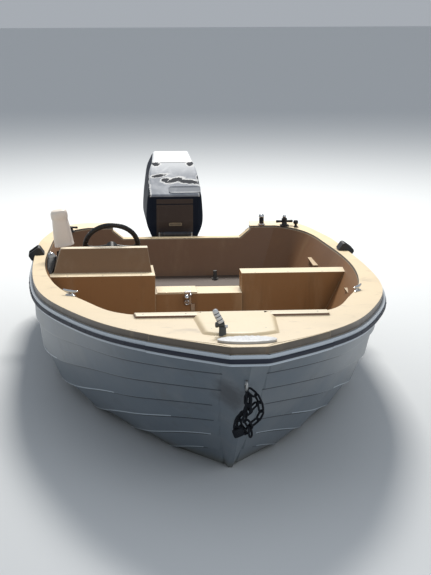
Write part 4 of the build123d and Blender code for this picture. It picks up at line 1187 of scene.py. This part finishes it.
# full rounded nose for deck edge and rub rail, where the bands run round the stem; section rows say how far
# out from the deck's edge and how far below its top
noseDepth = 0.07
noseLook = dict(
    line=[(0.4, -1.838), (0.36, -1.897), (0.3, -1.984), (0.25, -2.051), (0.2, -2.117), (0.15, -2.182),
        (0.115, -2.227), (0.092, -2.2535), (0.076, -2.2685), (0.055, -2.2718), (0.0, -2.2738)],
    deck=[[(-noseDepth, 0.008), (-0.006, 0.0012), (-0.0015, 0.0004), (0.0, 0.0009), (0.0008, 0.002),
        (0.0008, 0.034), (-noseDepth, 0.034)]],
    rail=[[(-noseDepth, 0.0335), (0.0145, 0.0335), (0.0158, 0.035), (0.0158, 0.0485), (0.0148, 0.0505),
        (-noseDepth, 0.0505)], [(-noseDepth, 0.0505), (0.007, 0.0505), (0.007, 0.0695),
        (-noseDepth, 0.0695)], [(-noseDepth, 0.0695), (0.0105, 0.0695), (0.0118, 0.071), (0.0118, 0.0795),
        (0.0108, 0.0815), (-noseDepth, 0.0815)]],
    insert=[[(0.0, 0.0508), (0.0178, 0.0508), (0.0198, 0.0545), (0.0198, 0.0655), (0.0178, 0.0692),
        (0.0, 0.0692)]],
)


def noseLine():
    # the deck's edge in plan, full and round, never inside the CAD's edge
    edge = []
    for x, y in smoothLine(noseLook["line"], 6):
        ahead = Vector((x, -3.0, sheerHeight(y) - 0.02))
        hit, point, _, _ = nodes["deck_moulding"].ray_cast(ahead, Vector((0, 1, 0)))
        edge.append(Vector((x, min(y, point.y) if hit else y)))
    return [Vector((-p.x, p.y)) for p in edge[:-1]] + edge[::-1]


edgeLine = noseLine()


def addNoseBands(shape, sections):
    for section in sections:
        rings = []
        for i, here in enumerate(edgeLine):
            along = edgeLine[min(i + 1, len(edgeLine) - 1)] - edgeLine[max(i - 1, 0)]
            out = Vector((along.y, -along.x)).normalized()
            spots = [(here + out * reach, drop) for reach, drop in section]
            rings.append([Vector((spot.x, spot.y, sheerHeight(here.y) - drop)) for spot, drop in spots])
        addRings(shape, rings)


meshPiece("deckNose", lambda shape: addNoseBands(shape, noseLook["deck"]), "boat", "deck_gelcoat", 40)
meshPiece("railNose", lambda shape: addNoseBands(shape, noseLook["rail"]), "boat", "rail_white", 40)
meshPiece("insertNose", lambda shape: addNoseBands(shape, noseLook["insert"]), "boat", "rail_dark")


# painted shadow: a dark strip in the corner under each lap of the hull's planks, and a painted highlight
# along the lower laps' edges
lapLook = dict(
    highest=0.0128, longest=0.03, lift=0.0004, stem=0.13, fold=35, steep=0.6,
    shade=dict(convex=False, width=0.011, top=9.0), light=dict(convex=True, width=0.0065, top=0.27),
)


def lapFaces(hull):
    # the narrow faces that step from one plank to the next
    steps = set()
    for face in hull.faces:
        longest = max(edge.calc_length() for edge in face.edges)
        thin = 2 * face.calc_area() / longest / (1 if len(face.verts) == 3 else 2)
        if thin < lapLook["highest"] and longest > lapLook["longest"]:
            steps.add(face)
    return steps


def lapEdges(steps, kind):
    # each edge between a step and a plank, with the way onto the plank and the plank's normal
    found = {}
    for face in steps:
        for edge in face.edges:
            short = edge.calc_length() <= lapLook["longest"]
            if len(edge.link_faces) != 2 or short or edge.is_convex != kind["convex"]:
                continue
            other = [f for f in edge.link_faces if f is not face][0]
            if other in steps or edge.calc_face_angle(0) < math.radians(lapLook["fold"]):
                continue
            a, b = [vert.co for vert in edge.verts]
            along = (b - a).normalized()
            atStem = max(abs(a.x), abs(b.x)) < lapLook["stem"]
            if abs(along.z) > lapLook["steep"] or atStem or a.z > kind["top"]:
                continue
            away = other.normal.cross(along).normalized()
            if away.dot(other.calc_center_median() - a) < 0:
                away = -away
            found[edge] = (away, other.normal.copy())
    return found


def buildLapStrips(shape, kind):
    hull = bmesh.new()
    hull.from_mesh(nodes["hull_shell"].data)
    bmesh.ops.remove_doubles(hull, verts=hull.verts, dist=0.0001)
    hull.normal_update()
    found = lapEdges(lapFaces(hull), kind)
    sums = {}
    for edge, (away, normal) in found.items():
        for vert in edge.verts:
            old = sums.get(vert, (Vector(), Vector()))
            sums[vert] = (old[0] + away, old[1] + normal)
    made = {}
    for vert, (away, normal) in sums.items():
        inner = vert.co + normal.normalized() * lapLook["lift"]
        made[vert] = [shape.verts.new(spot) for spot in (inner, inner + away.normalized() * kind["width"])]
    for edge in found:
        (nearA, farA), (nearB, farB) = [made[vert] for vert in edge.verts]
        shape.faces.new((nearA, nearB, farB, farA))
    print("lap strips over", len(found), "edges")
    hull.free()


# painted shadow: dark strips under the laps
meshPiece("lapShadowLines", lambda shape: buildLapStrips(shape, lapLook["shade"]), "boat", "hull_gelcoat", 30,
          paint="lapLine")
# painted highlight: light strips along the lower laps' edges
meshPiece("lapEdges", lambda shape: buildLapStrips(shape, lapLook["light"]), "boat", "hull_gelcoat", 30,
          paint="wornEdge")
print("bow dressed")


# motor: blank badge, cowl seal, lifting grip and catch, slats and plate on the lid
motorX = -0.035
cowlLook = dict(
    badge=[(1.0, -0.0015), (1.0, 0.001), (0.98, 0.0018), (0.94, 0.0018), (0.93, 0.0012), (0.5, 0.0013)],
    seal=[(0.4245, -0.004), (0.4255, 0.0012), (0.4275, 0.0026), (0.4305, 0.0026), (0.4325, 0.0012),
        (0.4335, -0.004)],
    sealBox=dict(halfX=0.1567, frontY=2.3495, backY=2.8805, radius=0.058),
    grip=[(-0.07, -0.004, 0.009), (-0.066, 0.008, 0.009), (-0.05, 0.014, 0.008), (0.0, 0.016, 0.0075),
        (0.05, 0.014, 0.008), (0.066, 0.008, 0.009), (0.07, -0.004, 0.009)],
    plate=[(1.0, -0.003), (1.0, 0.0022), (0.985, 0.0032), (0.96, 0.0032), (0.95, 0.0016), (0.93, 0.0013),
        (0.5, 0.0013)],
)


def buildBadge(shape):
    place = surfaceHit("cowl_front_panel", (motorX + 0.004, 2.0, 0.505), (0, 1, 0))
    addStack(shape, place, 0.043, cowlLook["badge"], 40, 7.0, 0.23)


def outlineRing(z, grow, halfX, frontY, backY, radius):
    # rounded rectangle round the cowl at one height
    x, front, back = halfX + grow - radius, frontY - grow + radius, backY + grow - radius
    corners = ((x, back, 0), (-x, back, 90), (-x, front, 180), (x, front, 270))
    return [Vector((motorX + cx + radius * c, cy + radius * s, z)) for cx, cy, start in corners
            for c, s in arc(start, start + 90, 9)]


def buildCowlSeal(shape):
    # rubber seal between cowl and pan, proud of both
    addRings(shape, [outlineRing(z, grow, **cowlLook["sealBox"]) for z, grow in cowlLook["seal"]], caps=False)


def buildCowlGrip(shape):
    back = surfaceHit("cowl_hood", (motorX, 3.2, 0.62), (0, -1, 0)).translation
    place = at(motorX, back.y, back.z)
    grip = pointsIn(place, [(dx, dy, 0) for dx, dy, radius in cowlLook["grip"]])
    addTube(shape, grip, [radius for dx, dy, radius in cowlLook["grip"]], 12)
    catch = surfaceHit("cowl_pan", (motorX, 3.2, 0.412), (0, -1, 0))
    addBlock(shape, catch @ at(0, 0.006, 0.003), (0.05, 0.03, 0.012))
    addBlock(shape, catch @ at(0, 0.018, 0.01), (0.03, 0.012, 0.01))


def buildLidSlats(shape):
    for k in range(5):
        spot = surfaceHit("cowl_top", (motorX - 0.06 + 0.03 * k, 2.86, 1.2), (0, 0, -1))
        if spot:
            addBlock(shape, spot @ at(0, 0, 0.0005), (0.02, 0.006, 0.003))


def buildLidPlate(shape):
    # shallow framed plate low on the lid's front slope
    spot = surfaceHit("cowl_top", (0.034, 2.0, 0.7305), (0, 1, 0))
    out = (spot.to_3x3() @ Vector((0, 0, 1))).normalized()
    side = Vector((1, 0, 0))
    place = axesAt(spot.translation, side, out.cross(side), out)
    addStack(shape, place, 0.106, cowlLook["plate"], 48, 9.0, 0.29)


meshPiece("blankBadge", buildBadge, "motor", "deck_gelcoat", 40)
meshPiece("cowlSeal", buildCowlSeal, "motor", "rail_dark")
meshPiece("cowlGrip", buildCowlGrip, "motor", "black_plastic", 45, 0.0015)
meshPiece("lidSlats", buildLidSlats, "motor", "black_plastic", 40, 0.0008)
meshPiece("lidPlate", buildLidPlate, "motor", "cowl_silver", 40, paint="primerPlate")


# below the cowl: water inlets, anode and bolts on both sides
legLook = dict(
    inlets=6, inletY=2.515, inletZ=-0.225, inletPitch=0.011,
    anode=[(1.0, -0.001), (1.0, 0.006), (0.88, 0.0105), (0.4, 0.011)],
    bolts=[("midsection", 0.007, [(2.49, 0.3), (2.6, 0.3), (2.48, -0.1), (2.59, -0.1), (2.5, 0.1)]),
        ("gearcase", 0.006, [(2.475, -0.185), (2.6, -0.185)])],
    bracketBolts=[("clamp_bracket", 0.008, [(2.272, 0.31), (2.262, 0.22)])],
    nut=[(0.0135, -0.001), (0.0135, 0.006), (0.0125, 0.0075), (0.006, 0.0078), (0.0, 0.0078)],
)


def buildInlets(shape):
    # slotted water inlets on both sides of the gearcase
    for side in (-1, 1):
        for k in range(legLook["inlets"]):
            height = legLook["inletZ"] - legLook["inletPitch"] * k
            spot = surfaceHit("gearcase", (motorX + side * 0.5, legLook["inletY"], height), (-side, 0, 0))
            if spot:
                place = Matrix.Translation(spot.translation)
                rim = pointsIn(place, [(side * 0.0006, 0.026 * c, 0.0028 * s) for c, s in arc(0, 340, 20)])
                addTube(shape, rim, 0.0011, 6, closed=True)


def buildAnode(shape):
    spot = surfaceHit("vent_plate", (motorX, 2.74, -0.5), (0, 0, 1))
    if spot:
        addStack(shape, spot, 0.035, legLook["anode"], 24, 4.5, 0.4)


def addSideBolts(shape, rows):
    for node, radius, spots in rows:
        for side in (-1, 1):
            for y, z in spots:
                screwOn(shape, node, (motorX + side * 0.5, y, z), (-side, 0, 0), radius)


def buildBracketBolts(shape):
    addSideBolts(shape, legLook["bracketBolts"])
    for side in (-1, 1):
        addLathe(shape, at(motorX + side * 0.104, 2.262, 0.452, turnY=side * 90), legLook["nut"], 6)


meshPiece("waterInlets", buildInlets, "motor", "motor_paint")
meshPiece("anode", buildAnode, "motor", "steel", 45)
meshPiece("legBolts", lambda shape: addSideBolts(shape, legLook["bolts"]), "motor", "steel")
meshPiece("bracketBolts", buildBracketBolts, "boat", "steel", 40)
print("motor dressed")


# stage: pale floor at the waterline, soft lamps and the photo's camera
stageLook = dict(
    floorColour=(0.7, 0.72, 0.73), floorSize=60.0, worldColour=(0.86, 0.92, 1.0), worldStrength=0.45,
)
half = stageLook["floorSize"] / 2
floorMesh = bpy.data.meshes.new("floor")
corners = [(-half, -half, 0), (half, -half, 0), (half, half, 0), (-half, half, 0)]
floorMesh.from_pydata(corners, [], [(0, 1, 2, 3)])
floor = bpy.data.objects.new("floor", floorMesh)
bpy.context.scene.collection.objects.link(floor)
floorPaint, tree, shader = newFinish("floorPaint", Roughness=0.7, Base_Color=stageLook["floorColour"])
floorMesh.materials.append(floorPaint)

world = bpy.data.worlds.new("studio")
world.use_nodes = True
background = world.node_tree.nodes["Background"]
background.inputs["Color"].default_value = (*stageLook["worldColour"], 1.0)
background.inputs["Strength"].default_value = stageLook["worldStrength"]
bpy.context.scene.world = world


def addLamp(name, place, size, power, colour, target=(0, 0, 0.3)):
    lamp = bpy.data.lights.new(name, "AREA")
    lamp.shape = "SQUARE"
    lamp.size = size
    lamp.energy = power
    lamp.color = colour
    thing = bpy.data.objects.new(name, lamp)
    thing.location = place
    thing.rotation_euler = (Vector(target) - Vector(place)).to_track_quat("-Z", "Y").to_euler()
    bpy.context.scene.collection.objects.link(thing)


addLamp("sunSide", (0.6, 6.6, 7.0), 2.2, 800, (1.0, 0.97, 0.92))
addLamp("frontFill", (3.0, -8.0, 4.5), 5.0, 110, (0.92, 0.96, 1.0))

cameraLook = dict(place=(-0.732, -9.457, 2.577), pitch=11.96, yaw=4.69, roll=-0.03, lens=112.6)
cameraData = bpy.data.cameras.new("camera")
cameraData.lens = cameraLook["lens"]
cameraData.clip_end = 200
camera = bpy.data.objects.new("camera", cameraData)
camera.location = cameraLook["place"]
turns = (90 - cameraLook["pitch"], cameraLook["roll"], -cameraLook["yaw"])
camera.rotation_euler = [math.radians(turn) for turn in turns]
bpy.context.scene.collection.objects.link(camera)
bpy.context.scene.camera = camera
bpy.context.scene.view_settings.view_transform = "Standard"
print("stage, lamps and camera set")
